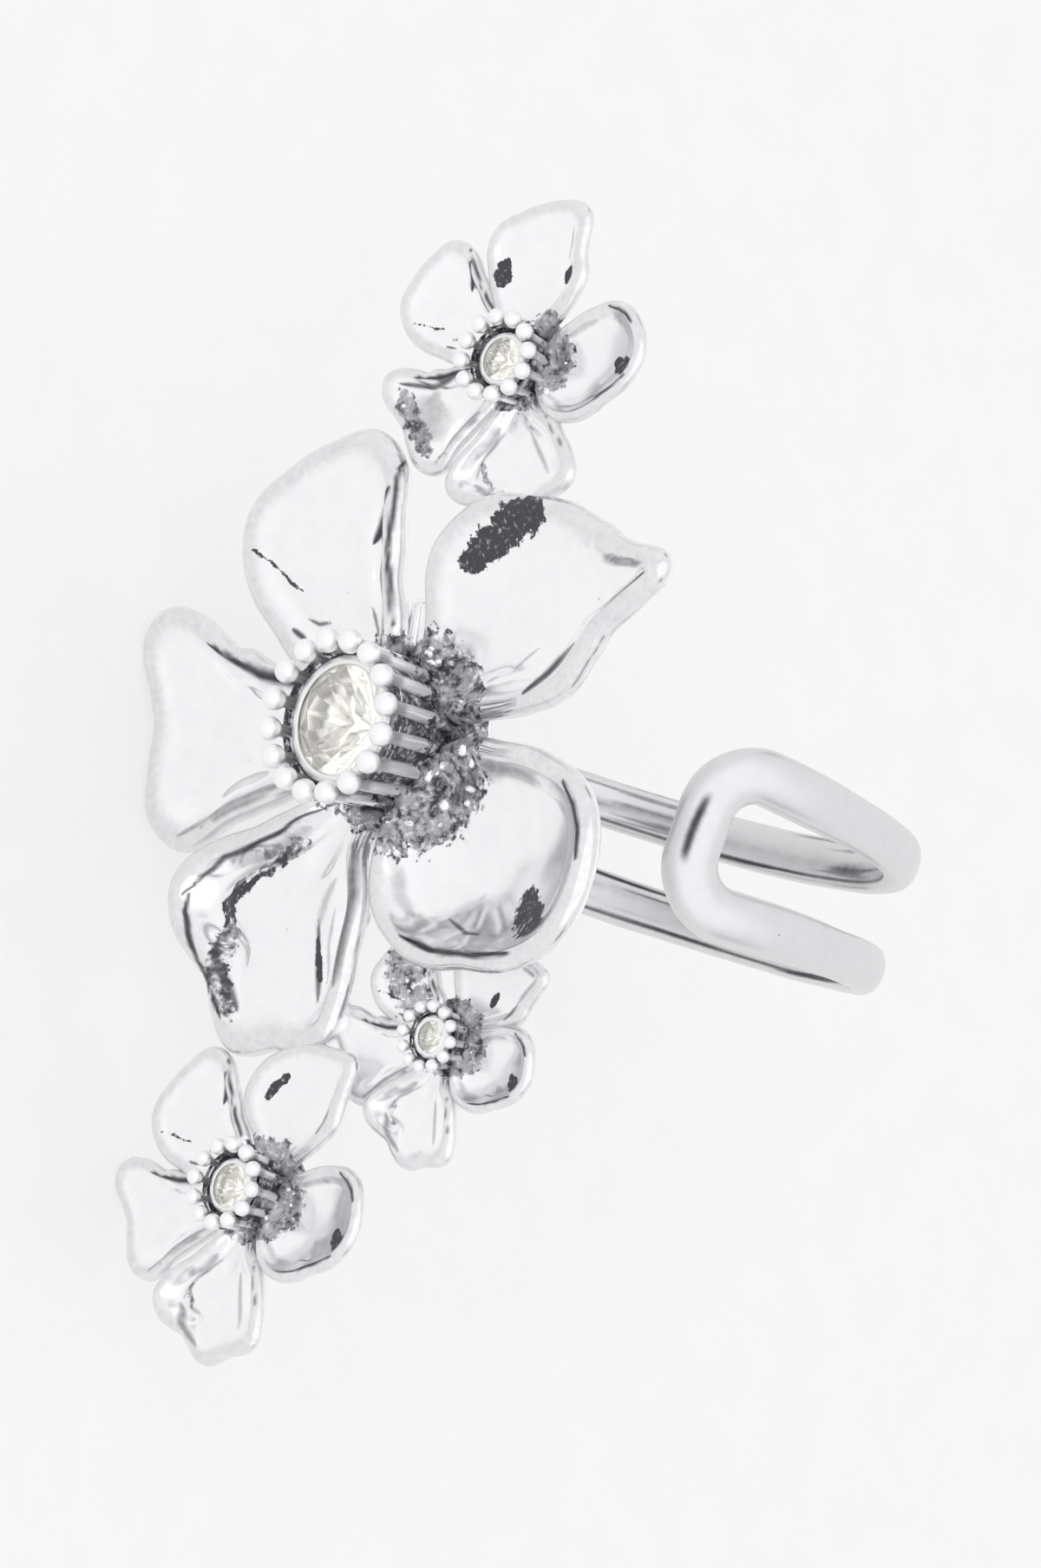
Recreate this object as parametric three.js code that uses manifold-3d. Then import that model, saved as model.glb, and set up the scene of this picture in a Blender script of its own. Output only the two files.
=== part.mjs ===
// Open flower ring: a two-wire adjustable band under a row of four five-petal flowers, each with a
// round stone in a crown of bead-tipped prongs. All the metal is soldered into one solid.
//
// Ring frame used while modelling (millimetres):
//   x  sideways, towards the U-shaped free end of the band
//   y  along the finger, towards the single flower at the top
//   z  out of the finger, through the middle of the large flower
import * as THREE from 'three';
import { mergeVertices } from 'three/addons/utils/BufferGeometryUtils.js';
import Module from 'manifold-3d';

const wasm = await Module();
wasm.setup();

// ---- driving dimensions (mm, degrees) ----
const BAND = {
  radius: 9.5,              // finger axis to the middle of the wire
  halfThick: 0.55,          // half the wire's size across the band
  halfWide: 0.80,           // half the wire's size along the finger
  halfWideOpen: 0.91,       // the same at the U, where the wire is hammered a little wider
  flareFrom: 110, flareTo: 70,  // turns between which it widens
  squareness: 2.4,          // exponent of the wire's rounded section
  hiddenEnd: 368,           // turn at which the wires end, under the large flower
  openEnd: 59.8,            // turn at which the U loop ends
  cornerRadius: 1.7,        // centre-line radius of the two corners of the U
  spreadFlower: 1.75,       // half the spacing of the wires under the flower,
  spreadBack: 1.49,         // behind the finger,
  spreadOpen: 2.42,         // and at the U
  sides: 8, stepsAlong: 30, stepsCorner: 4,
};

// One row per flower. size scales the petals; seat is the middle of the petals' base plane; lean
// tips the flower about x then y; spin turns it; beadTurn is where the first prong stands, in steps.
const FLOWERS = [
  { name: 'centre', size: 1.00, seat: [0.03, -0.05, 10.40], lean: [5.6, -0.5], spin: 0,
    halfThick: 0.45, beads: 16, beadTurn: 0.85, beadRadius: 0.40, crownRadius: 2.48,
    crownHeight: 3.70, prongRadius: 0.27, footRadius: 2.15, stoneRadius: 1.95, stoneDrop: 0.80,
    clearance: 0.25, hubRadius: 3.3, hubBottom: -0.75, hubTop: 0.30 },
  { name: 'top', size: 0.45, seat: [0.79, 12.23, 11.37], lean: [0.5, 4.3], spin: 33,
    halfThick: 0.26, beads: 12, beadTurn: 0.5, beadRadius: 0.29, crownRadius: 1.29,
    crownHeight: 1.67, prongRadius: 0.16, footRadius: 1.10, stoneRadius: 0.80, stoneDrop: 0.52,
    clearance: 0.20, hubRadius: 1.8, hubBottom: -0.30, hubTop: 0.15 },
  { name: 'lower', size: 0.50, seat: [0.08, -15.36, 10.02], lean: [2.6, -0.6], spin: 17,
    halfThick: 0.26, beads: 12, beadTurn: 0.5, beadRadius: 0.27, crownRadius: 1.27,
    crownHeight: 1.85, prongRadius: 0.16, footRadius: 1.10, stoneRadius: 0.80, stoneDrop: 0.45,
    clearance: 0.20, hubRadius: 1.8, hubBottom: -0.30, hubTop: 0.15 },
  { name: 'side', size: 0.37, seat: [5.71, -9.00, 9.86], lean: [7.6, 3.6], spin: 15,
    halfThick: 0.24, beads: 12, beadTurn: 0.5, beadRadius: 0.21, crownRadius: 0.98,
    crownHeight: 1.37, prongRadius: 0.13, footRadius: 0.82, stoneRadius: 0.60, stoneDrop: 0.32,
    clearance: 0.15, hubRadius: 1.4, hubBottom: -0.28, hubTop: 0.13 },
];

// How the petals of the small flowers differ from the pattern: turn in degrees, then how much
// longer and how much wider each one is. The top flower has the blunt petal in place of the
// pointed one, the lower and side flowers the short one.
const FITTED = {
  top: { blunt: [0, 1.00, 1.00], tall: [-5, 1.18, 1.05], broad: [-4, 1.01, 1.12],
    channel: [6, 1.02, 1.18], cupped: [5, 1.00, 0.98] },
  lower: { short: [9, 1.00, 1.05], tall: [2, 1.06, 1.06], broad: [-4, 1.04, 1.04],
    channel: [0, 1.00, 1.06], cupped: [1, 0.93, 0.96] },
  side: { short: [-10, 1.05, 1.10], tall: [0, 1.00, 1.00], broad: [-5, 1.10, 1.08],
    channel: [-7, 1.00, 1.14], cupped: [-1, 0.92, 0.95] },
};
const AS_DRAWN = [0, 1, 1];

// The petals at size 1. axis is the petal's direction round the flower, seat the distance of
// its own middle from the flower's axis, floor the height of the trough at hub, middle and tip.
// Rows run round that middle. Columns: bearing from the axis, reach to the rim, rise of the rim
// above the base plane, crease = depth of the fold just inside the rim.
const PETALS = {
  pointed: { axis: 45, seat: 7.0, floor: [0.0, 0.75, 1.1], rows: [
    [0, 3.8, 1.50, 0], [30, 3.2, 1.40, 0], [65, 3.2, 1.30, 0], [95, 4.0, 1.10, 0],
    [120, 4.5, 1.00, 0], [150, 4.3, 0.70, 0], [180, 5.0, 0.30, 0], [205, 3.6, 0.60, 0.1],
    [240, 3.0, 1.00, 0.1], [270, 3.1, 1.15, 0.1], [300, 3.15, 1.30, 0.1], [320, 3.85, 1.50, 0.1],
    [330, 5.1, 1.70, 0], [336, 6.0, 1.80, 0], [343, 4.85, 1.70, 0]] },
  short: { axis: 45, seat: 7.0, floor: [0.0, 0.75, 1.1], rows: [
    [0, 3.3, 1.50, 0], [30, 3.0, 1.40, 0], [65, 3.2, 1.30, 0], [95, 4.0, 1.10, 0],
    [120, 4.5, 1.00, 0], [150, 4.3, 0.70, 0], [180, 5.0, 0.30, 0], [205, 3.6, 0.60, 0.1],
    [240, 3.0, 1.00, 0.1], [270, 3.1, 1.15, 0.1], [300, 3.15, 1.30, 0.1], [318, 3.8, 1.50, 0.1],
    [329, 4.55, 1.65, 0], [340, 4.0, 1.65, 0], [350, 3.55, 1.60, 0]] },
  blunt: { axis: 66, seat: 6.6, floor: [0.0, 0.75, 1.1], rows: [
    [0, 4.6, 1.50, 0], [21, 4.3, 1.40, 0], [42, 4.5, 1.35, 0], [59, 4.2, 1.30, 0],
    [82, 3.4, 1.10, 0], [104, 3.1, 1.00, 0], [150, 3.6, 0.70, 0], [180, 4.4, 0.30, 0],
    [210, 3.9, 0.70, 0.1], [249, 4.0, 1.05, 0.1], [269, 4.3, 1.15, 0.1], [294, 4.4, 1.30, 0.1],
    [305, 4.9, 1.40, 0.1], [316, 5.9, 1.60, 0], [324, 6.0, 1.60, 0], [336, 5.4, 1.60, 0]] },
  tall: { axis: 127, seat: 6.0, floor: [0.0, 0.9, 1.1], rows: [
    [10, 3.6, 1.30, 0], [40, 4.0, 1.20, 0], [60, 3.8, 1.00, 0], [75, 3.5, 0.90, 0.1],
    [102, 3.0, 0.80, 0.2], [124, 3.1, 0.80, 0.2], [150, 3.6, 0.60, 0.1], [180, 4.0, 0.30, 0],
    [204, 3.1, 0.80, 0.2], [225, 2.3, 0.90, 0.3], [258, 2.25, 1.00, 0.3], [283, 2.7, 1.10, 0.3],
    [302, 3.7, 1.20, 0.1], [314, 4.1, 1.30, 0.1], [340, 3.7, 1.30, 0]] },
  broad: { axis: 190, seat: 6.2, floor: [0.0, 0.6, 1.0], rows: [
    [20, 3.6, 1.00, 0], [45, 4.2, 1.00, 0], [62, 4.0, 0.90, 0.2], [80, 2.9, 0.90, 0.4],
    [110, 2.4, 0.80, 0.5], [140, 2.7, 0.60, 0.3], [180, 4.2, 0.30, 0], [225, 2.4, 0.70, 0.4],
    [255, 2.0, 0.80, 0.4], [275, 2.3, 0.80, 0.3], [295, 2.8, 0.90, 0.2], [306, 4.2, 1.10, 0.1],
    [314, 5.0, 1.20, 0], [324, 5.0, 1.20, 0], [340, 3.9, 1.10, 0], [355, 3.4, 1.00, 0]] },
  channel: { axis: 251, seat: 6.2, floor: [0.0, 0.7, 1.1], rows: [
    [0, 4.2, 1.40, 0.1], [12, 4.8, 1.40, 0], [35, 4.6, 1.40, 0], [59, 5.0, 1.40, 0.1],
    [68, 4.5, 1.40, 0.3], [85, 3.7, 1.40, 0.4], [112, 3.2, 1.30, 0.4], [150, 3.1, 1.10, 0.3],
    [180, 4.0, 0.30, 0], [200, 2.8, 1.00, 0.3], [228, 2.4, 1.10, 0.4], [258, 2.7, 1.20, 0.5],
    [276, 3.5, 1.30, 0.5], [294, 4.5, 1.40, 0.5], [305, 4.5, 1.40, 0.5], [328, 3.8, 1.40, 0.5],
    [345, 3.6, 1.40, 0.3]] },
  cupped: { axis: 328, seat: 6.6, floor: [0.0, 0.3, 0.8], rows: [
    [15, 4.8, 2.00, 0], [40, 5.2, 2.00, 0], [65, 5.2, 1.90, 0], [90, 4.3, 1.70, 0],
    [120, 3.7, 1.40, 0], [150, 4.0, 0.90, 0], [180, 4.5, 0.50, 0], [200, 4.0, 1.10, 0],
    [235, 3.8, 1.40, 0], [270, 3.3, 1.60, 0], [300, 3.0, 1.80, 0], [325, 3.0, 1.90, 0],
    [355, 4.0, 2.00, 0]] },
};
const DISH_POWER = 2.2;      // how late the petal turns up towards its rim
const CREASE_AT = 0.74;      // where the crease lies, as a fraction of the reach
const CREASE_WIDTH = 0.13;

const PAVILION = 0.82;       // depth of a stone below its girdle, as a fraction of its radius

const TAB = { bearing: 98, from: 2.6, to: 4.5, wide: 0.55, high: 0.9, lift: 0.05 };

// How the finished ring lies on a surface: turned about these axes, then set down.
const REST = { turn: [17.5, -89.04, 0], origin: [2.353, 1.881, 10.092] };

// ---- small helpers ----
const rad = THREE.MathUtils.degToRad;

function solidFrom(positions, triangles) {
  return new wasm.Manifold(new wasm.Mesh({
    numProp: 3, vertProperties: new Float32Array(positions), triVerts: new Uint32Array(triangles),
  }));
}

function solidOf(geometry) {
  const bare = geometry.clone();
  bare.deleteAttribute('normal');
  bare.deleteAttribute('uv');
  const merged = mergeVertices(bare, 1e-4);
  const kept = [];
  const index = merged.index.array;
  for (let i = 0; i < index.length; i += 3) {
    const [a, b, c] = [index[i], index[i + 1], index[i + 2]];
    if (a !== b && b !== c && c !== a) kept.push(a, b, c);
  }
  return solidFrom(merged.attributes.position.array, kept);
}

function geometryOf(solid) {
  const mesh = solid.getMesh();
  const geometry = new THREE.BufferGeometry();
  geometry.setAttribute('position', new THREE.BufferAttribute(mesh.vertProperties, 3));
  geometry.setIndex(new THREE.BufferAttribute(mesh.triVerts, 1));
  geometry.computeVertexNormals();
  return geometry;
}

// A skin of equal loops, closed by a point at each end.
function loopsSolid(first, loops, last) {
  const n = loops[0].length;
  const positions = [...first];
  loops.forEach((loop) => loop.forEach((p) => positions.push(...p)));
  positions.push(...last);
  const end = 1 + loops.length * n;
  const triangles = [];
  for (let j = 0; j < n; j += 1) {
    const k = (j + 1) % n;
    triangles.push(0, 1 + j, 1 + k);
    for (let i = 0; i + 1 < loops.length; i += 1) {
      const a = 1 + i * n + j;
      const b = 1 + i * n + k;
      triangles.push(a, a + n, b, b, a + n, b + n);
    }
    triangles.push(end, end - n + k, end - n + j);
  }
  return solidFrom(positions, triangles);
}

// A smooth closed curve through table rows [bearing, value, ...], read at one bearing.
function readTable(rows, column, bearing) {
  const n = rows.length;
  const at = (i) => rows[((i % n) + n) % n][0] + 360 * Math.floor(i / n);
  const value = (i) => rows[((i % n) + n) % n][column];
  const slope = (i) => {
    const before = at(i) - at(i - 1);
    const after = at(i + 1) - at(i);
    return (before * before * value(i + 1) + (after * after - before * before) * value(i)
      - after * after * value(i - 1)) / (before * after * (before + after));
  };
  let i = 0;
  let b = bearing;
  while (b < at(0)) b += 360;
  while (at(i + 1) <= b) i += 1;
  const h = at(i + 1) - at(i);
  const t = (b - at(i)) / h;
  return (2 * t ** 3 - 3 * t ** 2 + 1) * value(i) + (t ** 3 - 2 * t ** 2 + t) * h * slope(i)
    + (3 * t ** 2 - 2 * t ** 3) * value(i + 1) + (t ** 3 - t ** 2) * h * slope(i + 1);
}

// ---- one petal: a dished sheet with a round rim, in the flower's own frame at size 1 ----
function petalSolid(petal, halfThick, around, ringsAbove, ringsBelow, rimSteps) {
  const { rows, seat, floor } = petal;
  const fine = [];
  for (let b = 0; b <= 360; b += 0.5) {
    const r = readTable(rows, 1, b);
    const p = [r * Math.cos(rad(b)), r * Math.sin(rad(b))];
    const q = fine[fine.length - 1];
    const run = q ? q.run + Math.hypot(p[0] - q.p[0], p[1] - q.p[1]) : 0;
    fine.push({ b, p, run });
  }
  // rim points at equal steps round the outline
  const total = fine[fine.length - 1].run;
  const rim = [];
  for (let j = 0, k = 0; j < around; j += 1) {
    const run = (total * j) / around;
    while (fine[k + 1].run < run) k += 1;
    const t = (run - fine[k].run) / (fine[k + 1].run - fine[k].run);
    const b = fine[k].b + 0.5 * t;
    const reach = readTable(rows, 1, b);
    rim.push({ x: reach * Math.cos(rad(b)), y: reach * Math.sin(rad(b)),
      rise: readTable(rows, 2, b), crease: readTable(rows, 3, b) });
  }
  const length = seat + Math.max(...rim.map((p) => p.x));
  const floorAt = (x) => {
    const s = THREE.MathUtils.clamp((x + seat) / length, 0, 1);
    if (s < 0.2) return floor[0];
    if (s < 0.6) return floor[0] + ((floor[1] - floor[0]) * (s - 0.2)) / 0.4;
    return floor[1] + ((floor[2] - floor[1]) * (s - 0.6)) / 0.4;
  };
  const sheet = (p, part) => new THREE.Vector3(p.x * part, p.y * part,
    floorAt(p.x * part) + (p.rise - floorAt(p.x)) * part ** DISH_POWER
    - p.crease * Math.exp(-(((part - CREASE_AT) / CREASE_WIDTH) ** 2)));
  const outward = rim.map((p, j) => {
    const before = rim[(j + around - 1) % around];
    const after = rim[(j + 1) % around];
    return new THREE.Vector3(after.y - before.y, before.x - after.x, 0).normalize();
  });
  const offset = (j, part, up, outwards) => {
    const p = sheet(rim[j], part).addScaledVector(outward[j], outwards * halfThick);
    return [p.x + seat, p.y, p.z + up * halfThick];
  };
  const loops = [];
  const ring = (part, up, outwards) => loops.push(rim.map((_, j) => offset(j, part, up, outwards)));
  for (let i = 1; i <= ringsAbove; i += 1) ring(i / ringsAbove, 1, 0);
  for (let i = 1; i < rimSteps; i += 1) {
    const turn = Math.PI * (0.5 - i / rimSteps);
    ring(1, Math.sin(turn), Math.cos(turn));
  }
  for (let i = ringsBelow; i >= 1; i -= 1) ring(i / ringsBelow, -1, 0);
  const mid = floorAt(0);
  return loopsSolid([seat, 0, mid + halfThick], loops, [seat, 0, mid - halfThick]);
}

// ---- crown of prongs with its cup, hub under the petals ----
function lathe(profile, segments) {
  const points = profile.map(([r, z]) => new THREE.Vector2(r, z));
  const geometry = new THREE.LatheGeometry(points, segments);
  geometry.rotateX(Math.PI / 2);          // the turning axis becomes +Z
  return geometry;
}

function crownSolids(f) {
  const large = f.size === 1;
  const girdle = f.crownHeight - f.stoneDrop;
  const bore = f.stoneRadius + f.clearance;
  const culet = girdle - PAVILION * f.stoneRadius;
  const seatTop = culet - f.clearance;
  const foot = f.hubBottom * 0.5;
  const cup = large
    ? [[0, foot], [f.footRadius, foot], [bore + 0.2, girdle], [bore, girdle],
      [bore, girdle - 0.2], [0.15 * bore, seatTop], [0, seatTop]]
    : [[0, foot], [f.footRadius, foot], [f.footRadius, seatTop], [0, seatTop]];
  const hub = [[0, f.hubBottom], [f.hubRadius * 0.86, f.hubBottom], [f.hubRadius, 0],
    [f.hubRadius * 0.86, f.hubTop], [0, f.hubTop]];
  const solids = [cup, hub].map((profile) => solidOf(lathe(profile, large ? 24 : 12)));
  // each prong is one turned pin with a ball for its head
  const lean = Math.atan2(f.crownRadius - f.footRadius, f.crownHeight);
  const long = Math.hypot(f.crownRadius - f.footRadius, f.crownHeight);
  const p = f.prongRadius;
  const b = f.beadRadius;
  const pin = [[0, 0], [p, 0], [p, long - b], [b * 0.95, long - b * 0.45], [b * 0.95, long + b * 0.45],
    [0, long + b]];
  for (let i = 0; i < f.beads; i += 1) {
    const prong = lathe(pin, large ? 7 : 5);
    prong.rotateY(lean);
    prong.translate(f.footRadius, 0, 0);
    prong.rotateZ((2 * Math.PI * (i + f.beadTurn)) / f.beads);
    solids.push(solidOf(prong));
  }
  return solids;
}

function stoneGeometry(f, segments) {
  const girdle = f.crownHeight - f.stoneDrop;
  const r = f.stoneRadius;
  return lathe([[0, girdle - PAVILION * r], [r, girdle - 0.06 * r], [r, girdle + 0.02 * r],
    [0.78 * r, girdle + 0.22 * r], [0.56 * r, girdle + 0.32 * r], [0, girdle + 0.32 * r]], segments);
}

const placeOf = (f) => new THREE.Matrix4().compose(
  new THREE.Vector3(...f.seat),
  new THREE.Quaternion().setFromEuler(new THREE.Euler(rad(f.lean[0]), rad(f.lean[1]), rad(f.spin))),
  new THREE.Vector3(1, 1, 1));

function flowerSolids(f) {
  const large = f.size === 1;
  const solids = crownSolids(f);
  const fitted = FITTED[f.name] || {};
  const first = ['blunt', 'short'].find((name) => fitted[name]) || 'pointed';
  const five = [first, 'tall', 'broad', 'channel', 'cupped'];
  five.forEach((name) => {
    const petal = PETALS[name];
    const [turn, long, wide] = fitted[name] || AS_DRAWN;
    const blade = large ? petalSolid(petal, f.halfThick, 28, 4, 2, 3)
      : petalSolid(petal, f.halfThick / f.size, 16, 2, 1, 2);
    solids.push(blade.scale([f.size * long, f.size * wide, f.size])
      .rotate([0, 0, petal.axis + turn]));
  });
  if (large) {
    const tab = new THREE.BoxGeometry(TAB.to - TAB.from, TAB.wide, TAB.high);
    tab.translate((TAB.from + TAB.to) / 2, 0, TAB.lift);
    tab.rotateZ(rad(TAB.bearing));
    solids.push(solidOf(tab));
  }
  const place = placeOf(f).toArray();
  return solids.map((solid) => solid.transform(place));
}

// ---- band: both wires and the U that joins them, as one bent bar ----
function bandSolid() {
  const { radius, hiddenEnd, openEnd, cornerRadius, stepsAlong, stepsCorner } = BAND;
  const straightEnd = openEnd + THREE.MathUtils.radToDeg(cornerRadius / radius);
  const half = [];
  for (let i = 0; i <= stepsAlong; i += 1) {
    const turn = hiddenEnd + ((straightEnd - hiddenEnd) * i) / stepsAlong;
    const s = (360 - turn) / (360 - openEnd);
    const spread = BAND.spreadFlower * 2 * (s - 0.5) * (s - 1) + BAND.spreadBack * 4 * s * (1 - s)
      + BAND.spreadOpen * 2 * s * (s - 0.5);
    half.push([turn, spread]);
  }
  const [turnEnd, spreadEnd] = half[half.length - 1];
  for (let i = 1; i <= stepsCorner; i += 1) {
    const a = (Math.PI / 2) * (i / stepsCorner);
    half.push([turnEnd - THREE.MathUtils.radToDeg((cornerRadius / radius) * Math.sin(a)),
      spreadEnd - cornerRadius + cornerRadius * Math.cos(a)]);
  }
  const path = [...half, ...half.map(([turn, y]) => [turn, -y]).reverse()];
  const halfWide = path.map(([turn]) => BAND.halfWide + (BAND.halfWideOpen - BAND.halfWide)
    * THREE.MathUtils.smoothstep(BAND.flareFrom - turn, 0, BAND.flareFrom - BAND.flareTo));
  const points = path.map(([turn, y]) => new THREE.Vector3(
    radius * Math.sin(rad(turn)), y, radius * Math.cos(rad(turn))));
  const loops = points.map((p, i) => {
    const along = points[Math.min(i + 1, points.length - 1)].clone()
      .sub(points[Math.max(i - 1, 0)]).normalize();
    const outward = new THREE.Vector3(p.x, 0, p.z).normalize();
    const across = new THREE.Vector3().crossVectors(outward, along).normalize();
    const loop = [];
    for (let j = 0; j < BAND.sides; j += 1) {
      const a = (2 * Math.PI * (j + 0.5)) / BAND.sides;
      const power = 2 / BAND.squareness;
      const u = BAND.halfThick * Math.sign(Math.cos(a)) * Math.abs(Math.cos(a)) ** power;
      const w = halfWide[i] * Math.sign(Math.sin(a)) * Math.abs(Math.sin(a)) ** power;
      const q = p.clone().addScaledVector(outward, u).addScaledVector(across, w);
      loop.push(q.toArray());
    }
    return loop;
  });
  return loopsSolid(points[0].toArray(), loops, points[points.length - 1].toArray());
}

// ---- the pieces ----
const silver = new THREE.MeshStandardMaterial({ color: 0xdfe1e5, roughness: 0.12, metalness: 1 });
const clear = () => new THREE.MeshStandardMaterial({ color: 0xf4f1e8, roughness: 0.03, metalness: 0 });

const soldered = wasm.Manifold.union([bandSolid(), ...FLOWERS.flatMap(flowerSolids)]);
// slivers under a hundredth of a millimetre go, and pinholes sealed inside the metal are filled
const metal = wasm.Manifold.compose(
  soldered.simplify(0.01).decompose().filter((shell) => shell.volume() > 0));
const body = new THREE.Mesh(geometryOf(metal), silver);
body.name = 'ring_body';

const design = new THREE.Group();
design.add(body);
FLOWERS.forEach((f) => {
  const stone = new THREE.Mesh(stoneGeometry(f, f.size === 1 ? 16 : 10), clear());
  stone.name = `${f.name}_stone`;
  stone.applyMatrix4(placeOf(f));
  design.add(stone);
});

// The ring is turned as a whole to the way it lies.
const ring = new THREE.Group();
design.rotation.set(...REST.turn.map(rad));
design.position.set(...REST.origin);
ring.add(design);

export default ring;
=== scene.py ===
# %% [markdown]
# # An open flower ring
# The real ring is polished silver-tone metal. A bar bent into an open band carries a row of four
# flowers, and every flower holds a round clear stone in a crown of bead-tipped prongs. We begin by
# loading the measured model of the ring. It gives every size and place, so the fine pieces made below
# need no fitting by eye: each one is a smoother version of a measured piece, in the same spot.

# %% Load the measured ring
import math
import random
import bpy
import numpy as np
from mathutils import Matrix, Vector, noise


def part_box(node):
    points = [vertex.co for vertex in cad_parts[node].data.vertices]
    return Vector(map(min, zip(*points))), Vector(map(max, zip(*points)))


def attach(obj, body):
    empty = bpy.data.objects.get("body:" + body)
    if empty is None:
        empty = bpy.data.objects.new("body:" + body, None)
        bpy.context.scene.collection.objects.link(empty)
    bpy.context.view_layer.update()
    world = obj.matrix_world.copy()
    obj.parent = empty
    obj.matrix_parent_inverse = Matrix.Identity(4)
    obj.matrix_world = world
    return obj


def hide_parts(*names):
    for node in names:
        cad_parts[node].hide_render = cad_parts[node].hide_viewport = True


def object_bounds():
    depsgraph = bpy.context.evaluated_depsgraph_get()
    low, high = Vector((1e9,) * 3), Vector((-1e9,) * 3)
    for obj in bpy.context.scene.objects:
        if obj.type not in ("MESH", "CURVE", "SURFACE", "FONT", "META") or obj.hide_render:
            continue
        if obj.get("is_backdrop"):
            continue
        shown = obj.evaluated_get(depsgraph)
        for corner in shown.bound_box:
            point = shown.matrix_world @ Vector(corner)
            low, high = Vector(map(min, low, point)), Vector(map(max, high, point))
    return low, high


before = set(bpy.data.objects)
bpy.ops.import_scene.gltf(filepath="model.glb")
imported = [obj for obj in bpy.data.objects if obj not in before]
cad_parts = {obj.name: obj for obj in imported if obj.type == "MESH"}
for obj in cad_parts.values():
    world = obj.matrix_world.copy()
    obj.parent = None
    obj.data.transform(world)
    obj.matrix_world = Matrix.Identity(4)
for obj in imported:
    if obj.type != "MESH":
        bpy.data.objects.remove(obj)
measured_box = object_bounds()
print("measured ring, mm:", [round((b - a) * 1000, 2) for a, b in zip(*measured_box)])

# %% [markdown]
# ## One row of sizes for each flower
# A jeweller makes the four flowers from one pattern at four sizes. A short table says the same thing
# in code: every later step reads the row of the flower that it works on, so one function makes all
# four. Lengths are in millimetres in the ring's own frame, where y runs along the finger and z
# points out through the large flower.

# %% The flowers and their sizes
FLOWERS = {
    "centre": dict(size=1.00, seat=(0.03, -0.05, 10.40), lean=(5.6, -0.5), spin=0, thick=0.45,
                   beads=16, bead_turn=0.85, bead=0.40, crown_radius=2.48, crown_height=3.70, prong=0.27,
                   foot=2.15, stone=1.95, stone_drop=0.80, gap=0.25, hub=(3.3, -0.75, 0.30)),
    "top": dict(size=0.45, seat=(0.79, 12.23, 11.37), lean=(0.5, 4.3), spin=33, thick=0.26,
                beads=12, bead_turn=0.5, bead=0.29, crown_radius=1.29, crown_height=1.67, prong=0.16,
                foot=1.10, stone=0.80, stone_drop=0.52, gap=0.20, hub=(1.8, -0.30, 0.15)),
    "lower": dict(size=0.50, seat=(0.08, -15.36, 10.02), lean=(2.6, -0.6), spin=17, thick=0.26,
                  beads=12, bead_turn=0.5, bead=0.27, crown_radius=1.27, crown_height=1.85, prong=0.16,
                  foot=1.10, stone=0.80, stone_drop=0.45, gap=0.20, hub=(1.8, -0.30, 0.15)),
    "side": dict(size=0.37, seat=(5.71, -9.00, 9.86), lean=(7.6, 3.6), spin=15, thick=0.24,
                 beads=12, bead_turn=0.5, bead=0.21, crown_radius=0.98, crown_height=1.37, prong=0.13,
                 foot=0.82, stone=0.60, stone_drop=0.32, gap=0.15, hub=(1.4, -0.28, 0.13)),
}
# how far each petal of the small flowers is turned from the pattern, in degrees, and how much
# longer and wider it is; the top flower has the blunt petal in place of the pointed one, and the
# lower and side flowers have the short one
FITTED = {
    "centre": dict(pointed=(0, 1, 1), tall=(0, 1, 1), broad=(0, 1, 1), channel=(0, 1, 1), cupped=(0, 1, 1)),
    "top": dict(blunt=(0, 1.00, 1.00), tall=(-5, 1.18, 1.05), broad=(-4, 1.01, 1.12),
                channel=(6, 1.02, 1.18), cupped=(5, 1.00, 0.98)),
    "lower": dict(short=(9, 1.00, 1.05), tall=(2, 1.06, 1.06), broad=(-4, 1.04, 1.04),
                  channel=(0, 1.00, 1.06), cupped=(1, 0.93, 0.96)),
    "side": dict(short=(-10, 1.05, 1.10), tall=(0, 1.00, 1.00), broad=(-5, 1.10, 1.08),
                 channel=(-7, 1.00, 1.14), cupped=(-1, 0.92, 0.95)),
}
for name, f in FLOWERS.items():
    print(name, "flower: size", f["size"], "with", f["beads"], "beads")

# %% [markdown]
# ## From the ring's own frame to the table top
# The ring lies on its side, so everything modelled upright has to be turned and set down. A 4x4
# matrix does both, and changes millimetres to metres as well. The turn is known. The shift is
# measured: we work out where the large stone would be after turning, and compare that with the box
# of the measured stone.

# %% Turn and shift that lay the ring down
MM = 0.001
LYING = (17.5, -89.04)      # degrees about x, then about y
DEPTH = 0.82                 # depth of a stone below its widest line, against its radius
CROWN_CUT = 0.32             # and its height above that line


def turn(degrees, axis):
    return Matrix.Rotation(math.radians(degrees), 4, axis)


def place_of(f):
    """Where a flower sits in the ring's own frame."""
    return (Matrix.Translation(f["seat"]) @ turn(f["lean"][0], "X") @ turn(f["lean"][1], "Y")
            @ turn(f["spin"], "Z"))


def level_of(f):
    """Height of the widest line of a flower's stone above its petals."""
    return f["crown_height"] - f["stone_drop"]


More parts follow.
